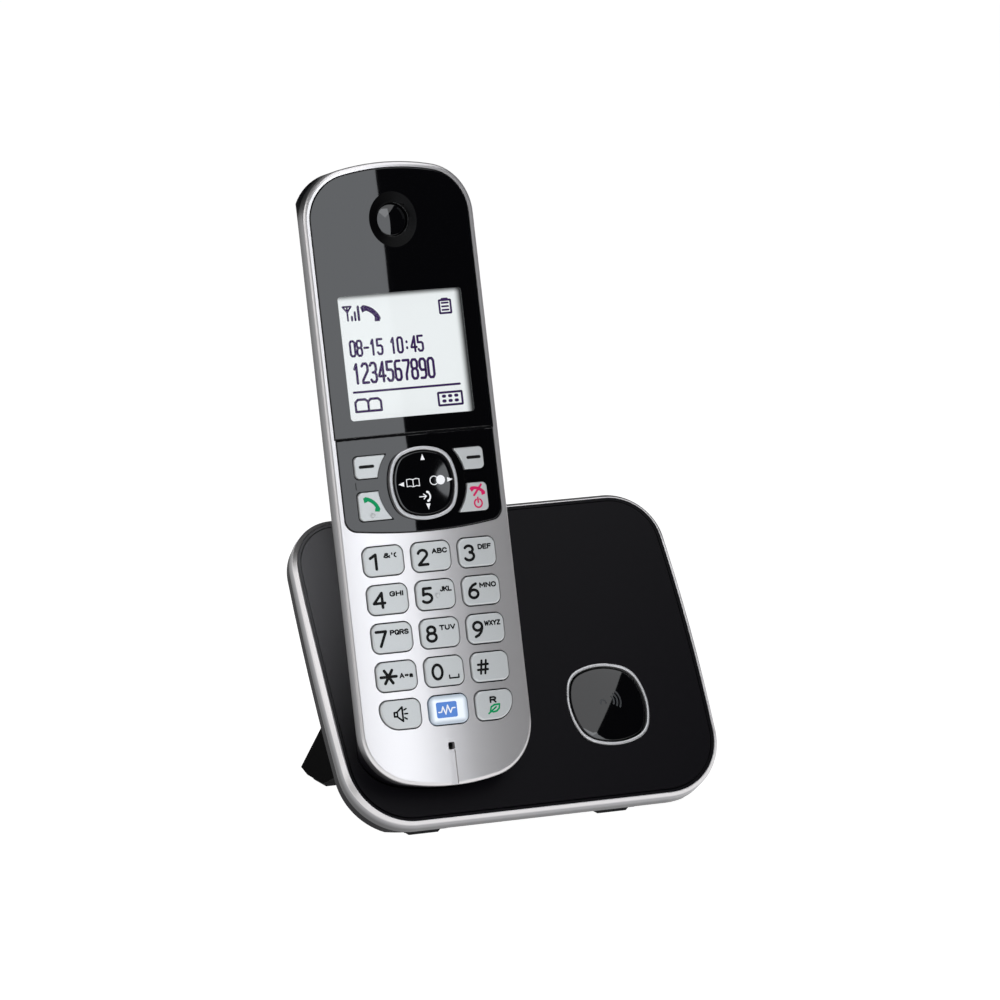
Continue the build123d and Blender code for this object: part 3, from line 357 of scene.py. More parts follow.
def faded(tree, value, dark_at, light_at):
    """0 where the value is at dark_at, 1 at light_at, smooth between."""
    fade = add_node(tree, "ShaderNodeMapRange", interpolation_type="SMOOTHSTEP")
    fade.inputs["From Min"].default_value = dark_at
    fade.inputs["From Max"].default_value = light_at
    tree.links.new(value, fade.inputs["Value"])
    return fade.outputs["Result"]


def times(tree, first, second):
    """Product of two values."""
    product = add_node(tree, "ShaderNodeMath", operation="MULTIPLY")
    for socket, value in zip(product.inputs, (first, second)):
        tree.links.new(value, socket)
    return product.outputs["Value"]


# %% [markdown]
# Four fades multiplied together are 1 inside the lit area and fall to 0 at its edges; at the top and right this
# is painted shade. The same product drives the light given out and the colour underneath, so the painted shade
# stays dark in any light.

# %% Lit display
lcd, tree, shader = new_material("lcd_lit", Base_Color=(0.3, 0.32, 0.33, 1), Roughness=0.35)
across, up = local_axes(tree, HANDSET)[:2]
# Painted shade: the lit area darkens towards the frame at the top and the right.
edges = times(tree, faded(tree, across, 18.7, 16.2), faded(tree, up, 132.6, 130.8))
edges = times(tree, edges, faded(tree, across, -19.2, -17.4))
edges = times(tree, edges, faded(tree, up, 97.2, 98.6))
glow = ramp(tree, edges, (0.0, 0.0, 0.0), (0.77, 0.785, 0.79))
tree.links.new(glow.outputs["Color"], shader.inputs["Emission Color"])
shader.inputs["Emission Strength"].default_value = 1.0
surface = ramp(tree, edges, (0.004, 0.004, 0.004), (0.1, 0.105, 0.108))
tree.links.new(surface.outputs["Color"], shader.inputs["Base Color"])
print(lcd.name, "nodes", len(tree.nodes))

# %% [markdown]
# The silver paint gets painted shade on the flanks of the handset and of the base's band, so they are darker
# than their faces, as flanks turned from the lights would be. Two materials with a seam between them would show
# a hard line, so the painted tone follows the distance out of the leaning face instead: full above the rim, and
# darker towards the split with the rear housing.


# %% Silver paint
SILVER_TONE = (0.64, 0.625, 0.63)
SHOULDER_AT = 0.86


def greyish(value):
    """Grey with a trace of blue."""
    return (value * 0.97, value * 0.96, value)


def silver_with_painted_shade(name, frame_matrix, rim, split, painted_shade_tone, middle):
    """Silver paint with painted shade: its tone falls from the rim down the flank, levels in millimetres out of
    the face.
    """
    material = finish(name, SILVER_TONE, 0.12, 6, 0.31, 0.04, Metallic=0.75)
    tree = material.node_tree
    span = add_node(tree, "ShaderNodeMapRange")
    span.inputs["From Min"].default_value = split
    span.inputs["From Max"].default_value = rim
    tree.links.new(local_axes(tree, frame_matrix)[2], span.inputs["Value"])
    # Painted shade: the tone darkens from the rim down the flank towards the split.
    tones = ramp(tree, span.outputs["Result"], greyish(painted_shade_tone), SILVER_TONE)
    tones.color_ramp.elements.new(SHOULDER_AT).color = (*greyish(middle), 1)
    tree.links.new(tones.outputs["Color"], tree.nodes["Principled BSDF"].inputs["Base Color"])
    print(name, "from", split, "to", rim)
    return material


silver = silver_with_painted_shade("silver_paint", HANDSET, -2.9, -6.5, 0.07, 0.22)
band_silver = silver_with_painted_shade("band_silver", SLAB, -0.9, -3.6, 0.08, 0.3)

# %% [markdown]
# The satin cover of the base gets a painted reflection in its upper left corner, beside the handset: grey
# there and black elsewhere. No light reaches that corner past the handset, so the grey is painted into the
# colour, the product of one fade across the base and one up it.

# %% Cover
cover_black_painted_reflection = finish("cover_black_painted_reflection", MATT_TONE, 0.22, 12, 0.34, 0.05, Specular_IOR_Level=0.07)
tree = cover_black_painted_reflection.node_tree
across, up = local_axes(tree, SLAB)[:2]
# Painted reflection: the upper left corner of the cover is lightened to grey.
corner = times(tree, faded(tree, across, -30.0, -47.0), faded(tree, up, 8.0, 86.0))
tones = ramp(tree, corner, MATT_TONE, (0.24, 0.24, 0.255))
tree.links.new(tones.outputs["Color"], tree.nodes["Principled BSDF"].inputs["Base Color"])
print(cover_black_painted_reflection.name, "nodes", len(tree.nodes))

# %% [markdown]
# The lit key is milky plastic with a lamp below: brightest behind its middle, and blue-grey at the rim.
# A lamp inside would need many light paths to come through, so the plastic gives out the light itself,
# in a soft-edged patch made of four fades.

# %% Lit key
lit_key, tree, shader = new_material("lit_key", Base_Color=(0.48, 0.54, 0.60, 1), Roughness=0.12)
across, up = local_axes(tree, HANDSET)[:2]
middle = times(tree, faded(tree, across, -5.5, -3.9), faded(tree, across, 5.5, 3.9))
middle = times(tree, middle, faded(tree, up, 16.2, 17.6))
middle = times(tree, middle, faded(tree, up, 23.5, 22.1))
glow = ramp(tree, middle, (0.02, 0.05, 0.09), (0.95, 0.98, 1.0))
tree.links.new(glow.outputs["Color"], shader.inputs["Emission Color"])
shader.inputs["Emission Strength"].default_value = 0.5
print(lit_key.name, "nodes", len(tree.nodes))

# %% [markdown]
# Each CAD solid now gets its finish in the material slot it came with. The solids' own shapes are right,
# so nothing is remodelled here. A table from finish to names keeps it to one loop.

# %% Dress the CAD solids
dial = ["1", "2", "3", "4", "5", "6", "7", "8", "9", "star", "0", "hash", "speaker", "recall"]
dress = {
    silver: ["handset_front_frame"],
    band_silver: ["base_band"],
    ring_silver: ["navigator_ring", "locator_ring"],
    key_silver: ["key_" + name for name in dial]
    + ["soft_key_left", "soft_key_right", "talk_key", "off_key"],
    gloss_black: ["display_panel", "key_panel", "key_bridges", "navigator_key", "locator_button"],
    cover_black_painted_reflection: ["base_cover"],
    matt_black: ["battery_door", "base_rear_housing", "handset_rear_housing"],
    leg_black: ["base_stand"],
    rubber: ["front_feet", "rear_feet", "panel_gasket"],
    smooth_black: ["locator_switch", "contact_holder", "dc_jack", "line_jack", "navigator_pivot"],
    board: ["handset_circuit_board", "base_circuit_board"],
    steel: ["handset_screws", "base_screws", "earpiece_speaker", "ringer_speaker", "microphone"],
    nickel: ["charge_contact_left", "charge_contact_right", "handset_charge_contacts", "battery_contacts",
             "handset_antenna"],
    mat_grey: ["keypad_mat"],
    wrap: ["battery_cells"],
    milk: ["lcd_backlight"],
    cloth: ["earpiece_mesh"],
    clear: ["display_window"],
    lcd: ["lcd_glass"],
    lit_key: ["key_quick"],
}
dressed = 0
for material, names in dress.items():
    for name in names:
        for material_slot in nodes[name].material_slots:
            material_slot.material = material
        dressed += 1
print("dressed", dressed, "of", len(nodes))

# %% [markdown]
# ## Inks
# Legends are pad-printed: a thin film of ink with its own gloss. They are modelled as shallow solids that
# stand 0.03 mm proud, so they catch an edge and survive as meshes.

# %% Inks
ink_black = finish("ink_black", (0.003, 0.003, 0.003), 0.3, 2, 0.5, Specular_IOR_Level=0.15)
# ink_white gives out a little light of its own: on the navigator's marks, which have no lamp, that is a painted
# glow; on the lit key it is the lamp's light.
ink_white = finish("ink_white", (0.75, 0.76, 0.78), 0.3, 2, 0.4, Emission_Color=(1, 1, 1, 1),
                   Emission_Strength=0.18)
ink_green = finish("ink_green", (0.0, 0.29, 0.10), 0.3, 2, 0.5, Specular_IOR_Level=0.15)
ink_magenta = finish("ink_magenta", (0.62, 0.01, 0.11), 0.3, 2, 0.5, Specular_IOR_Level=0.15)
ink_blue = finish("ink_blue", (0.05, 0.15, 0.42), 0.3, 2, 0.3, Emission_Color=(0.06, 0.17, 0.5, 1),
                  Emission_Strength=0.5)
ink_faint = finish("ink_faint", (0.022, 0.024, 0.028), 0.3, 2, 0.35)
lcd_ink = finish("lcd_ink", (0.04, 0.012, 0.09), 0.3, 1, 0.5, Specular_IOR_Level=0.15)

# %% [markdown]
# A legend starts flat on the XY plane, as strokes or as a filled curve, and is then laid on the face it
# belongs to. Wrapping it with a modifier would need a clean target surface. The faces here are simple
# enough to be given as a height for each place across and up, and the legend's points take that height.

# %% Lay flat work on a face
INK_PROUD = 0.03


def mesh_of(source):
    """Finished mesh of a curve, which is then removed."""
    bpy.context.scene.collection.objects.link(source)
    bpy.context.view_layer.update()
    evaluated = source.evaluated_get(bpy.context.evaluated_depsgraph_get())
    mesh = bpy.data.meshes.new_from_object(evaluated)
    bpy.data.objects.remove(source)
    return mesh


def settle(name, mesh, body, material, frame_matrix, height):
    """Turn a mesh in millimetres into a piece on a body; height gives the face's level at a place."""
    for vertex in mesh.vertices:
        x, y, z = vertex.co
        vertex.co = frame_matrix @ Vector((x, y, height(x, y) + z))
    mesh.name = name
    mesh.materials.clear()
    mesh.materials.append(material)
    piece = bpy.data.objects.new(name, mesh)
    bpy.context.scene.collection.objects.link(piece)
    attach(piece, body)
    return piece


def key_top(level):
    """Height of the handset's crowned face whose crest is at a level."""
    return lambda across, up: crowned(across, level)


def flat(level):
    """Height of a flat face at a level."""
    return lambda across, up: level


dial_top, side_top = key_top(0.0), key_top(-0.05)
print("crown falls", round(-crowned(20, 0), 2), "mm at 20 mm from the middle")

# %% [markdown]
# ## Strokes and fills
# Every line of a legend is a run of short capsules: each span between two points is the convex hull of a
# small circle at either end, a little thickness of ink high. The ends stay round and the corners full, as
# in real printing. A filled shape is a closed flat curve with a little thickness.


# %% Strokes and fills
CAPSULE_SIDES = 12
PROUD_STEP = 0.1


def stroke_mesh(lines, width):
    """Capsules along runs of points; neighbours differ a little in height, so they never share a face."""
    strokes = bmesh.new()
    count = 0
    for points in lines:
        for start, end in zip(points, points[1:]):
            count += 1
            proud = INK_PROUD * (1 + PROUD_STEP * (count % 3))
            span = []
            for x, y in (start, end):
                for side in (proud, -proud):
                    circle = bmesh.ops.create_circle(strokes, segments=CAPSULE_SIDES, radius=width / 2)
                    made = circle["verts"]
                    bmesh.ops.translate(strokes, vec=(x, y, side), verts=made)
                    span += made
            bmesh.ops.convex_hull(strokes, input=span)
    loose = [edge for edge in strokes.edges if edge.is_wire]
    bmesh.ops.delete(strokes, geom=loose, context="EDGES")
    lone = [vertex for vertex in strokes.verts if not vertex.link_faces]
    bmesh.ops.delete(strokes, geom=lone, context="VERTS")
    mesh = bpy.data.meshes.new("stroke")
    strokes.to_mesh(mesh)
    strokes.free()
    return mesh


def fill_mesh(outlines):
    """Thin solid between closed outlines; an outline inside another cuts a hole."""
    curve = bpy.data.curves.new("fill", "CURVE")
    curve.dimensions = "2D"
    curve.fill_mode = "BOTH"
    curve.extrude = INK_PROUD * 0.95
    for points in outlines:
        spline = curve.splines.new("POLY")
        spline.points.add(len(points) - 1)
        for target, point in zip(spline.points, points):
            target.co = (*point, 0, 1)
        spline.use_cyclic_u = True
    return mesh_of(bpy.data.objects.new("fill", curve))


def arc(centre, radius, start, end, steps=10, squeeze=1.0):
    """Points along an arc, angles in degrees, turned into an ellipse by a squeeze of its height."""
    turns = [radians(start + (end - start) * step / steps) for step in range(steps + 1)]
    return [(centre[0] + radius * cos(t), centre[1] + squeeze * radius * sin(t)) for t in turns]


def oblong(centre, size, radius):
    """Rounded rectangle as points."""
    half = (size[0] / 2 - radius, size[1] / 2 - radius)
    points = []
    for corner, (sx, sy) in enumerate(((1, 1), (-1, 1), (-1, -1), (1, -1))):
        middle = (centre[0] + sx * half[0], centre[1] + sy * half[1])
        points += arc(middle, radius, 90 * corner, 90 * corner + 90, 4)
    return points


def joined(name, meshes, body, material, height=dial_top, frame_matrix=HANDSET):
    """Several flat meshes as one piece on a face."""
    gathered = bmesh.new()
    for mesh in meshes:
        gathered.from_mesh(mesh)
        bpy.data.meshes.remove(mesh)
    result = bpy.data.meshes.new(name)
    gathered.to_mesh(result)
    gathered.free()
    settle(name, result, body, material, frame_matrix, height)


BOW_STEPS = (-1, -0.8, -0.55, -0.28, 0, 0.28, 0.55, 0.8, 1)
END_BLOCK = [(1.02, 0.08), (1.14, -0.08), (0.72, -0.23), (0.52, -0.06)]


def receiver(centre, length, turn, thick):
    """Telephone receiver: a bowed handle with two blocks at its ends, turned by an angle in degrees."""
    half = length / 2
    bow = [(half * 0.86 * x, 0.11 * length * (1 - x * x)) for x in BOW_STEPS]
    c, s = cos(radians(turn)), sin(radians(turn))

    def turned(points):
        return [(centre[0] + c * x - s * y, centre[1] + s * x + c * y) for x, y in points]

    return [stroke_mesh([turned(bow)], 0.16 * length * thick)] + [
        fill_mesh([turned([(side * half * x, length * y) for x, y in END_BLOCK])]) for side in (-1, 1)
    ]


print("points along a receiver", len(BOW_STEPS), "corners of its end", len(END_BLOCK))


# %% [markdown]
# ## Letters
# Figures and letters are single-stroke shapes on a small grid, four wide and six or seven high. Blender's
# text objects give filled outlines, whose thin parts pinch when they are this small, so a stroke of even
# width is drawn along each letter's line. A text is laid out letter by letter and fitted into its box.

# %% Stroke alphabet
SIX = [(3.3, 7), (1.9, 6.3), (0.7, 4.9), (0.15, 3.2), (0.1, 2.2)] + arc((2.05, 2.2), 1.95, 180, 540, 20)
ROUND = [(1.2, 6), (2.8, 6), (4, 4.6), (4, 1.4), (2.8, 0), (1.2, 0), (0, 1.4), (0, 4.6), (1.2, 6)]
BOW = [(0, 0), (0, 6), (3, 6), (4, 5.1), (4, 3.8), (3, 2.9), (0, 2.9)]
SHAPES = {
    "0": [arc((2, 3.5), 1.95, 90, 450, 22, 1.79)],
    "1": [[(0.9, 5.4), (2.6, 7), (2.6, 0)]],
    "2": [arc((2, 5.05), 1.9, 165, -35, 11) + [(0.1, 0), (4, 0)]],
    "3": [arc((1.9, 5.25), 1.7, 150, -75, 11), arc((1.9, 1.95), 1.95, 80, -150, 12)],
    "4": [[(3.1, 0), (3.1, 7), (0, 2.1), (4, 2.1)]],
    "5": [[(3.7, 7), (0.7, 7), (0.5, 3.9)] + arc((1.8, 2.3), 2.1, 120, -140, 13)],
    "6": [SIX],
    "7": [[(0, 7), (4, 7), (1.5, 0)]],
    "8": [arc((2, 5.3), 1.65, 90, 450, 20), arc((2, 1.9), 1.95, 90, 450, 20)],
    "9": [[(4 - x, 7 - y) for x, y in SIX]],
    "#": [[(1.1, 0), (1.9, 7)], [(2.9, 0), (3.7, 7)], [(0.2, 4.9), (4.4, 4.9)], [(0, 2.1), (4.2, 2.1)]],
    "A": [[(0, 0), (2.1, 6), (4.2, 0)], [(0.8, 1.9), (3.4, 1.9)]],
    "B": [[(0, 0), (0, 6), (2.8, 6), (3.7, 5.2), (3.7, 4), (2.8, 3.2), (0, 3.2)],
          [(2.8, 3.2), (4, 2.3), (4, 0.9), (3, 0), (0, 0)]],
    "C": [[(4, 4.8), (2.8, 6), (1.2, 6), (0, 4.6), (0, 1.4), (1.2, 0), (2.8, 0), (4, 1.2)]],
    "D": [[(0, 0), (0, 6), (2.4, 6), (4, 4.4), (4, 1.6), (2.4, 0), (0, 0)]],
    "E": [[(3.6, 6), (0, 6), (0, 0), (3.6, 0)], [(0, 3.1), (3.1, 3.1)]],
    "F": [[(3.6, 6), (0, 6), (0, 0)], [(0, 3.1), (3.1, 3.1)]],
    "G": [[(4, 4.8), (2.8, 6), (1.2, 6), (0, 4.6), (0, 1.4), (1.2, 0), (2.8, 0), (4, 1), (4, 2.8),
           (2.3, 2.8)]],
    "H": [[(0, 0), (0, 6)], [(4, 0), (4, 6)], [(0, 3.1), (4, 3.1)]],
    "I": [[(0, 0), (0, 6)]],
    "J": [[(2.8, 6), (2.8, 1.3), (1.9, 0), (0.9, 0), (0, 1.2)]],
    "K": [[(0, 0), (0, 6)], [(3.8, 6), (0, 2.4)], [(1.4, 3.7), (4, 0)]],
    "L": [[(0, 6), (0, 0), (3.4, 0)]],
    "M": [[(0, 0), (0, 6), (2.3, 1.8), (4.6, 6), (4.6, 0)]],
    "N": [[(0, 0), (0, 6), (4, 0), (4, 6)]],
    "O": [ROUND],
    "P": [BOW],
    "Q": [ROUND, [(2.4, 1.8), (4.1, 0)]],
    "R": [BOW, [(2.3, 2.9), (4, 0)]],
    "S": [[(3.8, 5), (2.8, 6), (1.2, 6), (0.1, 5.1), (0.2, 3.9), (1.2, 3.2), (2.8, 2.9), (4, 2), (4, 0.9),
           (2.8, 0), (1.2, 0), (0, 1)]],
    "T": [[(0, 6), (4, 6)], [(2, 6), (2, 0)]],
    "U": [[(0, 6), (0, 1.4), (1.2, 0), (2.8, 0), (4, 1.4), (4, 6)]],
    "V": [[(0, 6), (2.1, 0), (4.2, 6)]],
    "W": [[(0, 6), (1.4, 0), (2.9, 5.2), (4.4, 0), (5.8, 6)]],
    "X": [[(0, 6), (4, 0)], [(0, 0), (4, 6)]],
    "Y": [[(0, 6), (2, 3), (4, 6)], [(2, 3), (2, 0)]],
    "Z": [[(0, 6), (4, 6), (0, 0), (4, 0)]],
    "a": [[(0.2, 3.4), (1.5, 4.1), (3, 3.4), (3, 0)], [(3, 2.2), (0.9, 2.2), (0, 1.2), (0.9, 0), (3, 1)]],
    "-": [[(0, 3), (3.4, 3)], [(0.9, 3.9), (0, 3), (0.9, 2.1)], [(2.5, 3.9), (3.4, 3), (2.5, 2.1)]],
    "&": [[(4, 0), (0.9, 4.3), (1.0, 5.5), (1.9, 6), (2.8, 5.4), (2.6, 4.3), (0.4, 2.3), (0.2, 0.9), (1.4, 0),
           (2.8, 0.4), (4, 2.4)]],
    "'": [[(0, 6), (0, 4.4)]],
    "(": [[(1.3, 6), (0.3, 4.5), (0.3, 1.5), (1.3, 0)]],
}
LETTER_GAP = 1.7


def legend(name, body, text, low_left, high_right, width):
    """Text of single strokes fitted into a box on a key of the dial."""
    lines, pen = [], 0.0
    for letter in text:
        left = min(x for line in SHAPES[letter] for x, y in line)
        lines += [[(x - left + pen, y) for x, y in line] for line in SHAPES[letter]]
        pen = LETTER_GAP + max(x for line in lines for x, y in line)
    tall = max(y for line in lines for x, y in line)
    scale_x = (high_right[0] - low_left[0] - width) / (pen - LETTER_GAP)
    scale_y = (high_right[1] - low_left[1] - width) / tall
    edge = (low_left[0] + width / 2, low_left[1] + width / 2)
    placed = [[(edge[0] + x * scale_x, edge[1] + y * scale_y) for x, y in line] for line in lines]
    joined(name, [stroke_mesh(placed, width)], body, ink_black)


print("letter shapes", len(SHAPES))

# %% [markdown]
# ## Dial legends
# Each dial key has a figure on the left and small letters at the upper right. The boxes say where they
# stand on the 12 mm keys: the figures' from the middle of the key, the letters' from the middle of the
# handset. The figures are about twice as bold as the letters.

# %% Dial legends
COLUMN_AT = {0: -13.6, 1: 0.0, 2: 13.6}
ROW_AT = [60.93, 50.66, 40.39, 30.12, 19.85]
figures = {
    "1": ("&'(", 0, 0), "2": ("ABC", 1, 0), "3": ("DEF", 2, 0),
    "4": ("GHI", 0, 1), "5": ("JKL", 1, 1), "6": ("MNO", 2, 1),
    "7": ("PQRS", 0, 2), "8": ("TUV", 1, 2), "9": ("WXYZ", 2, 2),
}
LETTER_BOX = {"&'(": (-13.7, -10.0), "ABC": (0.1, 4.6), "DEF": (13.8, 17.9),
              "GHI": (-13.2, -9.3), "JKL": (1.2, 4.7), "MNO": (13.0, 18.1),
              "PQRS": (-14.3, -9.0), "TUV": (-0.2, 4.5), "WXYZ": (13.1, 18.1)}
FIGURE_BOX = {"1": (-4.2, -1.9), "4": (-4.5, -0.7), "7": (-4.9, -1.4),
              "2": (-4.3, -0.9), "5": (-4.3, -0.9), "8": (-4.3, -0.9),
              "3": (-4.2, -0.8), "6": (-4.2, -0.8), "9": (-4.2, -0.8)}
FIGURE_STROKE, LETTER_STROKE = 0.78, 0.38
for figure, (letters, column, row) in figures.items():
    x, y = COLUMN_AT[column], ROW_AT[row]
    left, right = FIGURE_BOX[figure]
    key = "key_" + figure
    legend("figure_" + figure, key, figure, (x + left, y - 2.45), (x + right, y + 2.2), FIGURE_STROKE)
    low, high = LETTER_BOX[letters]
    legend("letters_" + figure, key, letters, (low, y + 0.6), (high, y + 2.05), LETTER_STROKE)
legend("figure_0", "key_0", "0", (-3.9, 27.75), (-0.4, 32.35), 0.76)
legend("figure_hash", "key_hash", "#", (9.4, 28.1), (13.2, 32.2), 0.62)
legend("letters_star", "key_star", "A-a", (-13.0, 29.4), (-9.2, 30.85), 0.34)
legend("recall_mark", "key_recall", "R", (12.15, 20.3), (14.2, 22.15), 0.5)
print("legends", len(figures) * 2 + 4)

# %% [markdown]
# The star, the space mark, the loudspeaker and the marks on the call keys follow. Each is drawn with the
# same strokes and fills and rides on its own key, so it sinks with the key when that is pressed. The two
# soft keys and the two call keys have their tops a little lower than the dial.

# %% Marks on the keys
STAR, STAR_REACH, STAR_SQUEEZE = (-16.0, 30.1), 2.15, 0.92
rays = [[STAR, arc(STAR, STAR_REACH, turn, turn, 1, STAR_SQUEEZE)[0]] for turn in range(0, 360, 60)]
joined("star_mark", [stroke_mesh([ray], 0.8) for ray in rays], "key_star", ink_black)
space = [(1.2, 28.9), (1.2, 28.1), (3.9, 28.1), (3.9, 28.9)]
joined("space_mark", [stroke_mesh([space], 0.42)], "key_0", ink_black)
horn = [(-15.6, 19.4), (-14.9, 19.4), (-13.3, 18.0), (-13.3, 21.8), (-14.9, 20.5), (-15.6, 20.5), (-15.6, 19.4)]
joined("loudspeaker_mark", [
    stroke_mesh([horn], 0.5),
    stroke_mesh([[(-14.75, 19.5), (-14.75, 20.4)]], 0.44),
    stroke_mesh([[(-12.7, 19.95), (-11.9, 19.95)]], 0.44),
    stroke_mesh([[(-12.8, 21.0), (-12.2, 21.3)], [(-12.8, 18.9), (-12.2, 18.5)]], 0.44),
], "key_speaker", ink_black)
for side, name in ((-15.5, "soft_key_left"), (15.7, "soft_key_right")):
    dash = [(side - 1.75, 86.3), (side + 1.75, 86.3)]
    joined(name + "_dash", [stroke_mesh([dash], 0.85)], name, ink_black, side_top)
joined("talk_mark", receiver((-15.1, 76.3), 5.0, -43, 1.25), "talk_key", ink_green, side_top)
joined("off_mark", receiver((15.8, 77.4), 4.3, -20, 1.25) + [
    stroke_mesh([[(14.6, 76.1), (17.0, 78.8)]], 0.62),
    stroke_mesh([arc((15.6, 73.9), 1.15, 118, 422, 18)], 0.46),
    stroke_mesh([[(15.6, 74.1), (15.6, 75.4)]], 0.48),
], "off_key", ink_magenta, side_top)
leaf = [(12.1, 18.3), (12.4, 19.3), (13.4, 19.8), (15.0, 19.9), (14.8, 18.8), (14.0, 18.1), (12.9, 17.95)]
stalk = [(11.5, 17.6), (13.9, 19.2)]
joined("saver_mark", [stroke_mesh([leaf + leaf[:1]], 0.5), stroke_mesh([stalk], 0.46)], "key_recall", ink_green)
print("marks on keys", 7)

# %% [markdown]
# The lit key carries a blue square with a plain white wave in it. The wave stands on the square, a film of
# ink higher, so the two never fight for the same place.

# %% Lit key mark
square = oblong((-0.7, 19.85), (6.0, 4.2), 0.5)
joined("quick_square", [fill_mesh([square])], "key_quick", ink_blue)
wave = [(-3.1, 19.3), (-2.3, 19.3), (-1.8, 20.7), (-1.1, 18.7), (-0.4, 21.0), (0.3, 19.0), (0.9, 20.2),
        (1.7, 20.2)]
joined("quick_wave", [stroke_mesh([wave], 0.34)], "key_quick", ink_white, key_top(INK_PROUD))
print("points in the wave", len(wave))

# %% [markdown]
# Two small domes help a thumb find the middle of the dial and the talk key. They could be cut from the
# key's own mesh, but a separate sphere, scaled in height and sunk by half, is simpler and has a clean edge.


# %% Raised dots
DOT_RADIUS, DOT_RISE = 0.66, 0.75


def dot(name, body, across, up, height):
    """Small dome on a key."""
    ball = bmesh.new()
    bmesh.ops.create_uvsphere(ball, u_segments=24, v_segments=14, radius=DOT_RADIUS)
    bmesh.ops.scale(ball, vec=(1, 1, DOT_RISE / DOT_RADIUS), verts=ball.verts)
    bmesh.ops.translate(ball, vec=(across, up, 0), verts=ball.verts)
    mesh = bpy.data.meshes.new(name)
    ball.to_mesh(mesh)
    ball.free()
    for polygon in mesh.polygons:
        polygon.use_smooth = True
    settle(name, mesh, body, key_silver, HANDSET, height)
    print(name, "on", body)


dot("five_dot", "key_5", 0.4, 50.4, dial_top)
dot("talk_dot", "talk_key", -15.3, 73.2, side_top)

# %% [markdown]
# ## Navigator
# The glossy disc has four small triangles and three marks: a book, two rings and a hung-up receiver. The
# disc is a shallow cone, rounded at its middle, and the marks take its height in the same way as the
# legends take the crown's.

# %% Navigator marks
NAV_MIDDLE = (0.0, 80.6)
NAV_SLOPE = 0.034
NAV_EASE = 3.6
INK_LIFT = 0.01


def nav_level(reach):
    """Height of the disc's shallow cone, rounded at its middle."""
    return NAV_SLOPE * NAV_EASE * log(cosh(reach / NAV_EASE))


def in_dish(across, up):
    """Height for ink laid in the disc's dish."""
    return nav_level(sqrt((across - NAV_MIDDLE[0]) ** 2 + (up - NAV_MIDDLE[1]) ** 2)) + INK_LIFT


def triangle(centre, size, turn):
    """Filled triangle pointing along an angle in degrees."""
    corners = [(size, 0), (-size * 0.6, size * 0.62), (-size * 0.6, -size * 0.62)]
    c, s = cos(radians(turn)), sin(radians(turn))
    return fill_mesh([[(centre[0] + c * x - s * y, centre[1] + s * x + c * y) for x, y in corners]])


book = [[(-4.85, 79.9), (-4.85, 81.8), (-3.9, 81.95), (-3.0, 81.7), (-2.1, 81.95), (-1.2, 81.8), (-1.2, 79.9),
         (-2.1, 80.05), (-3.0, 79.8), (-3.9, 80.05), (-4.85, 79.9)], [(-3.0, 79.8), (-3.0, 81.7)]]
nav_marks = [
    triangle((0.45, 87.3), 1.0, 90), triangle((0.65, 74.4), 1.0, -90),
    triangle((-6.3, 80.65), 1.0, 180), triangle((7.5, 80.9), 1.0, 0),
    stroke_mesh(book, 0.2),
    stroke_mesh([arc((3.1, 81.0), 1.15, 0, 360, 24)[:-1] + [(4.25, 81.0)]], 0.22),
    fill_mesh([arc((5.0, 81.0), 1.25, 0, 345, 23)]),
    stroke_mesh([[(-1.6, 76.95), (0.35, 76.95)]], 0.26),
    stroke_mesh([[(-0.35, 77.6), (0.4, 76.95), (-0.35, 76.3)]], 0.26),
    stroke_mesh([arc((0.15, 76.9), 1.35, -55, 55, 10)], 0.42),
    stroke_mesh([[(0.75, 78.1), (1.1, 77.95)]], 0.6), stroke_mesh([[(0.75, 75.7), (1.1, 75.85)]], 0.6),
]

# %% [markdown]
# All the marks are one piece in one white ink, because they always move together.

# %% Lay the navigator marks in the dish
# The white ink's own light gives these marks a painted glow, as they have no lamp.
joined("navigator_marks", nav_marks, "navigator_key", ink_white, in_dish)
print("marks on the disc", len(nav_marks), "edge height", round(nav_level(8.5), 2))

# %% [markdown]
# ## Display picture
# Figures on the display are built from straight strokes on a coarse grid, as a dot-matrix shows them:
# the time, a made-up number, and the usual symbols for aerial, battery, book and keypad. An image would be
# the quick way, but strokes stay sharp at any distance and need no file.

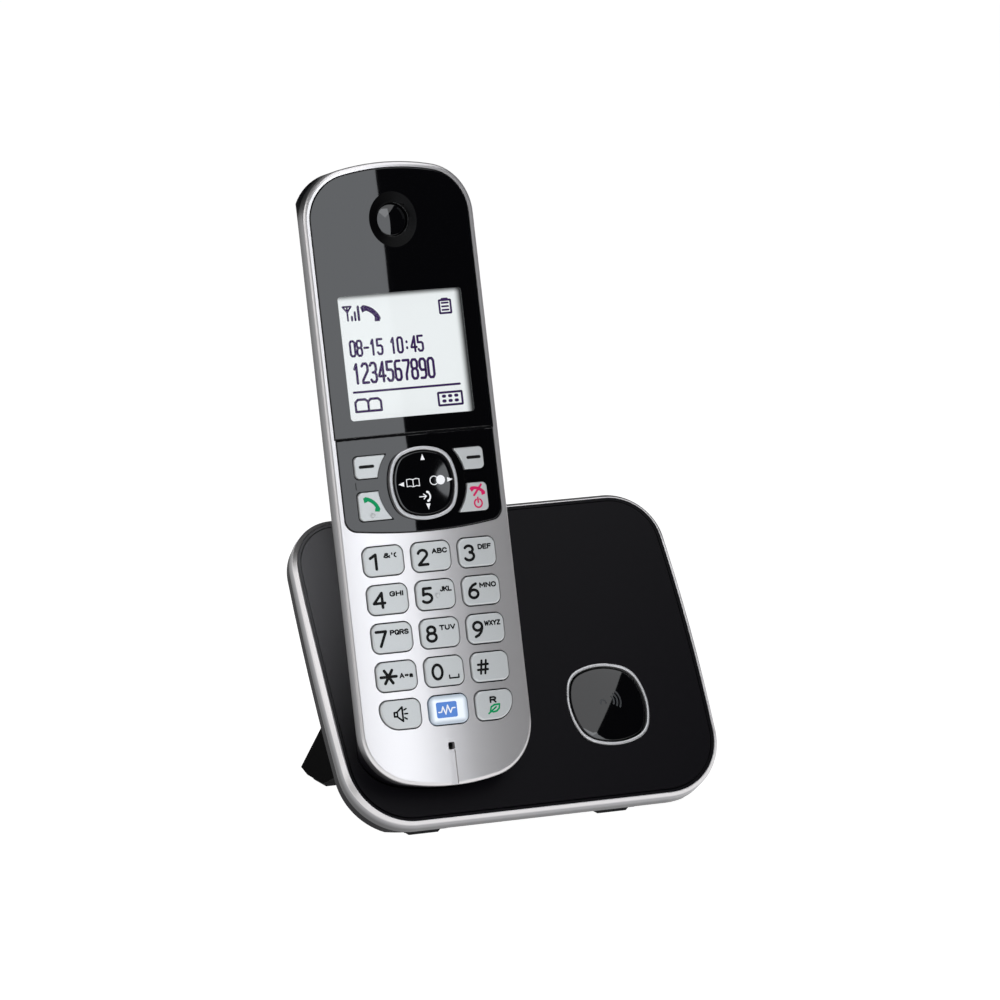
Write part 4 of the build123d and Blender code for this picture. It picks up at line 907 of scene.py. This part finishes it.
# %% Display figures
GLYPHS = {
    "0": [[(0, 1), (0, 7), (1, 8), (3, 8), (4, 7), (4, 1), (3, 0), (1, 0), (0, 1)]],
    "1": [[(0.6, 6), (2, 8), (2, 0)]],
    "2": [[(0, 7), (1, 8), (3, 8), (4, 7), (4, 5), (0, 1), (0, 0), (4, 0)]],
    "3": [[(0, 7), (1, 8), (3, 8), (4, 7), (4, 5), (3, 4), (1.6, 4)],
          [(3, 4), (4, 3), (4, 1), (3, 0), (1, 0), (0, 1)]],
    "4": [[(3, 0), (3, 8), (0, 2.6), (0, 2.2), (4.4, 2.2)]],
    "5": [[(4, 8), (0, 8), (0, 4.6), (3, 4.6), (4, 3.8), (4, 1), (3, 0), (1, 0), (0, 1)]],
    "6": [[(3.6, 8), (1, 8), (0, 7), (0, 1), (1, 0), (3, 0), (4, 1), (4, 3.6), (3, 4.6), (0, 4.6)]],
    "7": [[(0, 8), (4, 8), (4, 6.6), (1.8, 2), (1.8, 0)]],
    "8": [[(1, 4.2), (0, 5), (0, 7), (1, 8), (3, 8), (4, 7), (4, 5), (3, 4.2), (1, 4.2)],
          [(1, 4.2), (0, 3.2), (0, 1), (1, 0), (3, 0), (4, 1), (4, 3.2), (3, 4.2)]],
    "9": [[(0.4, 0), (3, 0), (4, 1), (4, 7), (3, 8), (1, 8), (0, 7), (0, 4.4), (1, 3.4), (4, 3.4)]],
    ":": [[(2, 5.6), (2, 5.2)], [(2, 2.4), (2, 2.0)]],
    "-": [[(0.4, 4), (3.6, 4)]],
    " ": [],
}


def figures_mesh(text, low_left, pitch, size, width):
    """Row of grid figures as strokes."""
    lines = []
    for place, glyph in enumerate(text):
        for line in GLYPHS[glyph]:
            lines.append([(low_left[0] + place * pitch + x / 4 * size[0], low_left[1] + y / 8 * size[1])
                          for x, y in line])
    return stroke_mesh(lines, width)


aerial = [[(-16.1, 129.4), (-13.7, 129.4), (-14.9, 127.9), (-16.1, 129.4)], [(-14.9, 129.4), (-14.9, 125.7)]]
battery = oblong((13.6, 127.4), (3.3, 3.5), 0.15)
keypad_frame = oblong((12.1, 102.7), (6.9, 3.4), 0.15)
left_page = [(-11.8, 101.2), (-15.5, 101.2), (-15.5, 103.7), (-14.7, 104.4), (-12.6, 104.4), (-11.8, 103.7),
             (-11.8, 101.2)]
right_page = [(-11.8, 103.7), (-11.0, 104.4), (-8.9, 104.4), (-8.1, 103.7), (-8.1, 101.2), (-11.8, 101.2)]
picture = [
    figures_mesh("08-15 10:45", (-15.2, 116.1), 1.97, (1.35, 4.0), 0.62),
    figures_mesh("1234567890", (-14.9, 108.8), 2.4, (1.6, 5.1), 0.72),
    stroke_mesh([[(-15.6, 106.4), (15.3, 106.4)]], 0.6),
    stroke_mesh(aerial, 0.5),
    stroke_mesh([[(-13.7, 125.7), (-13.7, 126.6)]], 0.6),
    stroke_mesh([[(-12.75, 125.7), (-12.75, 127.8)]], 0.6),
    stroke_mesh([[(-11.7, 125.7), (-11.7, 129.2)]], 0.7),
    stroke_mesh([battery + battery[:1]], 0.55), stroke_mesh([[(12.9, 129.4), (14.3, 129.4)]], 0.7),
    stroke_mesh([[(12.7, y), (14.5, y)] for y in (126.5, 127.45, 128.4)], 0.5),
    stroke_mesh([keypad_frame + keypad_frame[:1]], 0.6),
    stroke_mesh([[(x - 0.2, y), (x + 0.2, y)] for x in (10.3, 12.1, 13.9) for y in (102.1, 103.4)], 0.85),
    stroke_mesh([left_page, right_page], 0.66),
] + receiver((-8.1, 127.3), 5.8, -38, 1.5)
print("strokes and fills on the display", len(picture))
joined("display_picture", picture, "handset", lcd_ink, flat(LCD_FACE + INK_LIFT))

# %% [markdown]
# ## Earpiece
# The earpiece lies in a shallow round hollow. Its hole has a rounded lip, and behind the lip is a gently
# domed glossy cap. A cylinder with bevels would show facets in the gloss, so both are spun from a profile
# in many fine steps.

# %% Spun rings and caps
EAR = (0.2, 151.6)
SPIN_STEPS = 96


def spun(name, profile, body, material, frame_matrix, shaped):
    """Turned solid from a profile of (radius, height); shaped then moves each point to its place on a face."""
    turning = bmesh.new()
    ring = [turning.verts.new((radius, 0, height)) for radius, height in profile]
    edges_made = [turning.edges.new(pair) for pair in zip(ring, ring[1:])]
    bmesh.ops.spin(turning, geom=ring + edges_made, cent=(0, 0, 0), axis=(0, 0, 1), angle=2 * pi,
                   steps=SPIN_STEPS, use_merge=True)
    bmesh.ops.remove_doubles(turning, verts=turning.verts, dist=1e-4)
    bmesh.ops.recalc_face_normals(turning, faces=turning.faces)
    for vertex in turning.verts:
        vertex.co = shaped(*vertex.co)
    mesh = bpy.data.meshes.new(name)
    turning.to_mesh(mesh)
    turning.free()
    for polygon in mesh.polygons:
        polygon.use_smooth = True
    piece = settle(name, mesh, body, material, frame_matrix, flat(0.0))
    print(name, "faces", len(mesh.polygons))
    return piece


def at_ear(x, y, z):
    """Point of a turned piece moved to the earpiece."""
    return Vector((EAR[0] + x, EAR[1] + y, z))


# %% [markdown]
# The hollow is part of a sphere, and it meets the crowned panel along an outline that is not quite a
# circle. The ring is spun round, and each of its circles is then stretched to follow that outline.

# %% Earpiece ring
DISH_RADIUS = 29.3
DISH_FLOOR = -1.65
DISH_PROUD = 0.05
DISH_HOLE = 4.5
DISH_EDGE = 7.4


def dish_level(radius):
    """Height of the hollow round the earpiece."""
    return DISH_FLOOR + DISH_RADIUS - sqrt(DISH_RADIUS**2 - radius**2)


def dish_place(x, y, z):
    """Stretch the dish's rings so that the outermost follows the edge of the hollow in the crowned panel."""
    radius = sqrt(x * x + y * y)
    if radius < DISH_HOLE + 0.5:
        return at_ear(x, y, z)
    edge = sqrt((FACE - DISH_FLOOR) / (0.5 / DISH_RADIUS + 0.5 * (x / radius) ** 2 / CROWN))
    share = (radius - DISH_HOLE) / (DISH_EDGE - DISH_HOLE)
    reach = DISH_HOLE + share * (edge - DISH_HOLE)
    height = dish_level(reach) + DISH_PROUD * (1 - share**4) + (z + 0.6 if z < -0.5 else 0)
    return at_ear(x / radius * reach, y / radius * reach, height)


lip = [(DISH_HOLE, -2.2), (DISH_HOLE, dish_level(4.5) - 0.2), (4.56, dish_level(4.5) - 0.02),
       (4.72, dish_level(4.6) + 0.06)]
dish_profile = lip + [(5.0 + 0.3 * step, 0.0) for step in range(9)] + [(7.45, 0.0)]
spun("earpiece_dish", dish_profile, "handset", deep_black, HANDSET, dish_place)

# %% [markdown]
# The cap in the hole bulges a little, by the sagitta of a 24 mm sphere, and stands for the flat mesh disc
# of the CAD model, which it hides.

# %% Earpiece cap
CAP_DOME, CAP_TOP, CAP_FOOT = 24.0, -1.7, -2.33
cap_profile = [(r, CAP_TOP - r * r / (2 * CAP_DOME)) for r in (0.0, 0.8, 1.6, 2.4, 3.2, 4.0, 4.4)]
cap_profile += [(4.5, -2.2), (4.5, CAP_FOOT), (0.0, CAP_FOOT)]
cap = spun("earpiece_cap", cap_profile, "handset", gloss_black, HANDSET, at_ear)
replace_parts(cap, "earpiece_mesh")

# %% [markdown]
# ## Smooth pebble keys
# The navigator's disc and the locator button share one outline: a square with bulged sides and round
# corners. A bevelled box would need a face cut into flat strips, which gloss black gives away. Both are
# spun about their middle instead and then stretched to that outline, so their face curves without a break.


# %% Pebble keys
SIDE_END = 0.559
SIDE_ARC, SIDE_CENTRE = 1.502, 0.502
CORNER_ARC_SQUARED, CORNER_CENTRE = 0.36, 0.4743
TOP_STEPS = 12


def pebble_reach(angle):
    """Distance from the middle to the pebble's outline, for one whose flat radius is 1."""
    off_axis = abs((angle + pi / 4) % (pi / 2) - pi / 4)
    if off_axis < SIDE_END:
        return sqrt(SIDE_ARC**2 - (SIDE_CENTRE * sin(off_axis)) ** 2) - SIDE_CENTRE * cos(off_axis)
    off_corner = pi / 4 - off_axis
    along = CORNER_CENTRE * cos(off_corner)
    return along + sqrt(CORNER_ARC_SQUARED - (CORNER_CENTRE * sin(off_corner)) ** 2)


def pebble_key(name, body, radius, rounding, foot, centre, frame_matrix, level):
    """Key of a pebble outline with a curved top and a rounded edge."""
    inner = radius - rounding
    profile = [(inner * step / TOP_STEPS, 0.0) for step in range(TOP_STEPS + 1)]
    for turn in (18, 36, 54, 72, 90):
        profile.append((inner + rounding * sin(radians(turn)), -rounding * (1 - cos(radians(turn)))))
    profile += [(radius, foot), (0.0, foot)]

    def shaped(x, y, z):
        reach = sqrt(x * x + y * y)
        stretch = pebble_reach(atan2(y, x)) if reach else 1.0
        place = Vector((x * stretch, y * stretch, z))
        if z > foot:
            place.z += level(place.xy.length)
        return place + Vector((*centre, 0))

    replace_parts(spun(name, profile, body, gloss_black, frame_matrix, shaped), body)


def button_level(reach):
    """Height of the locator button's dome."""
    return BUTTON_TOP - BUTTON_DOME + sqrt(BUTTON_DOME**2 - reach**2)


BUTTON_TOP = 1.35
pebble_key("navigator_disc", "navigator_key", 8.5, 0.3, -3.2, NAV_MIDDLE, HANDSET, nav_level)
pebble_key("locator_disc", "locator_button", 10.65, 0.4, -1.7, BUTTON_MIDDLE, SLAB, button_level)

# %% [markdown]
# ## Locator mark
# The button shows a faint handset with radio waves, printed in dark grey. It is laid on the dome as the
# navigator's marks are laid in their dish, with a height for each place.

# %% Locator mark
WAVE_STROKE = 0.5


def on_button(across, up):
    """Height for ink laid on the button's dome."""
    return BUTTON_TOP - (Vector((across, up)) - BUTTON_MIDDLE).length_squared / (2 * BUTTON_DOME)


waves = [arc((24.9, 27.6), radius, -32, 40, 8) for radius in (1.9, 2.9, 3.9)]
waves.append(arc((23.6, 27.3), 0.75, -20, 200, 8))
marks = [stroke_mesh([line], WAVE_STROKE) for line in waves]
joined("locator_mark", marks, "locator_button", ink_faint, on_button, SLAB)
print("locator strokes", len(waves))
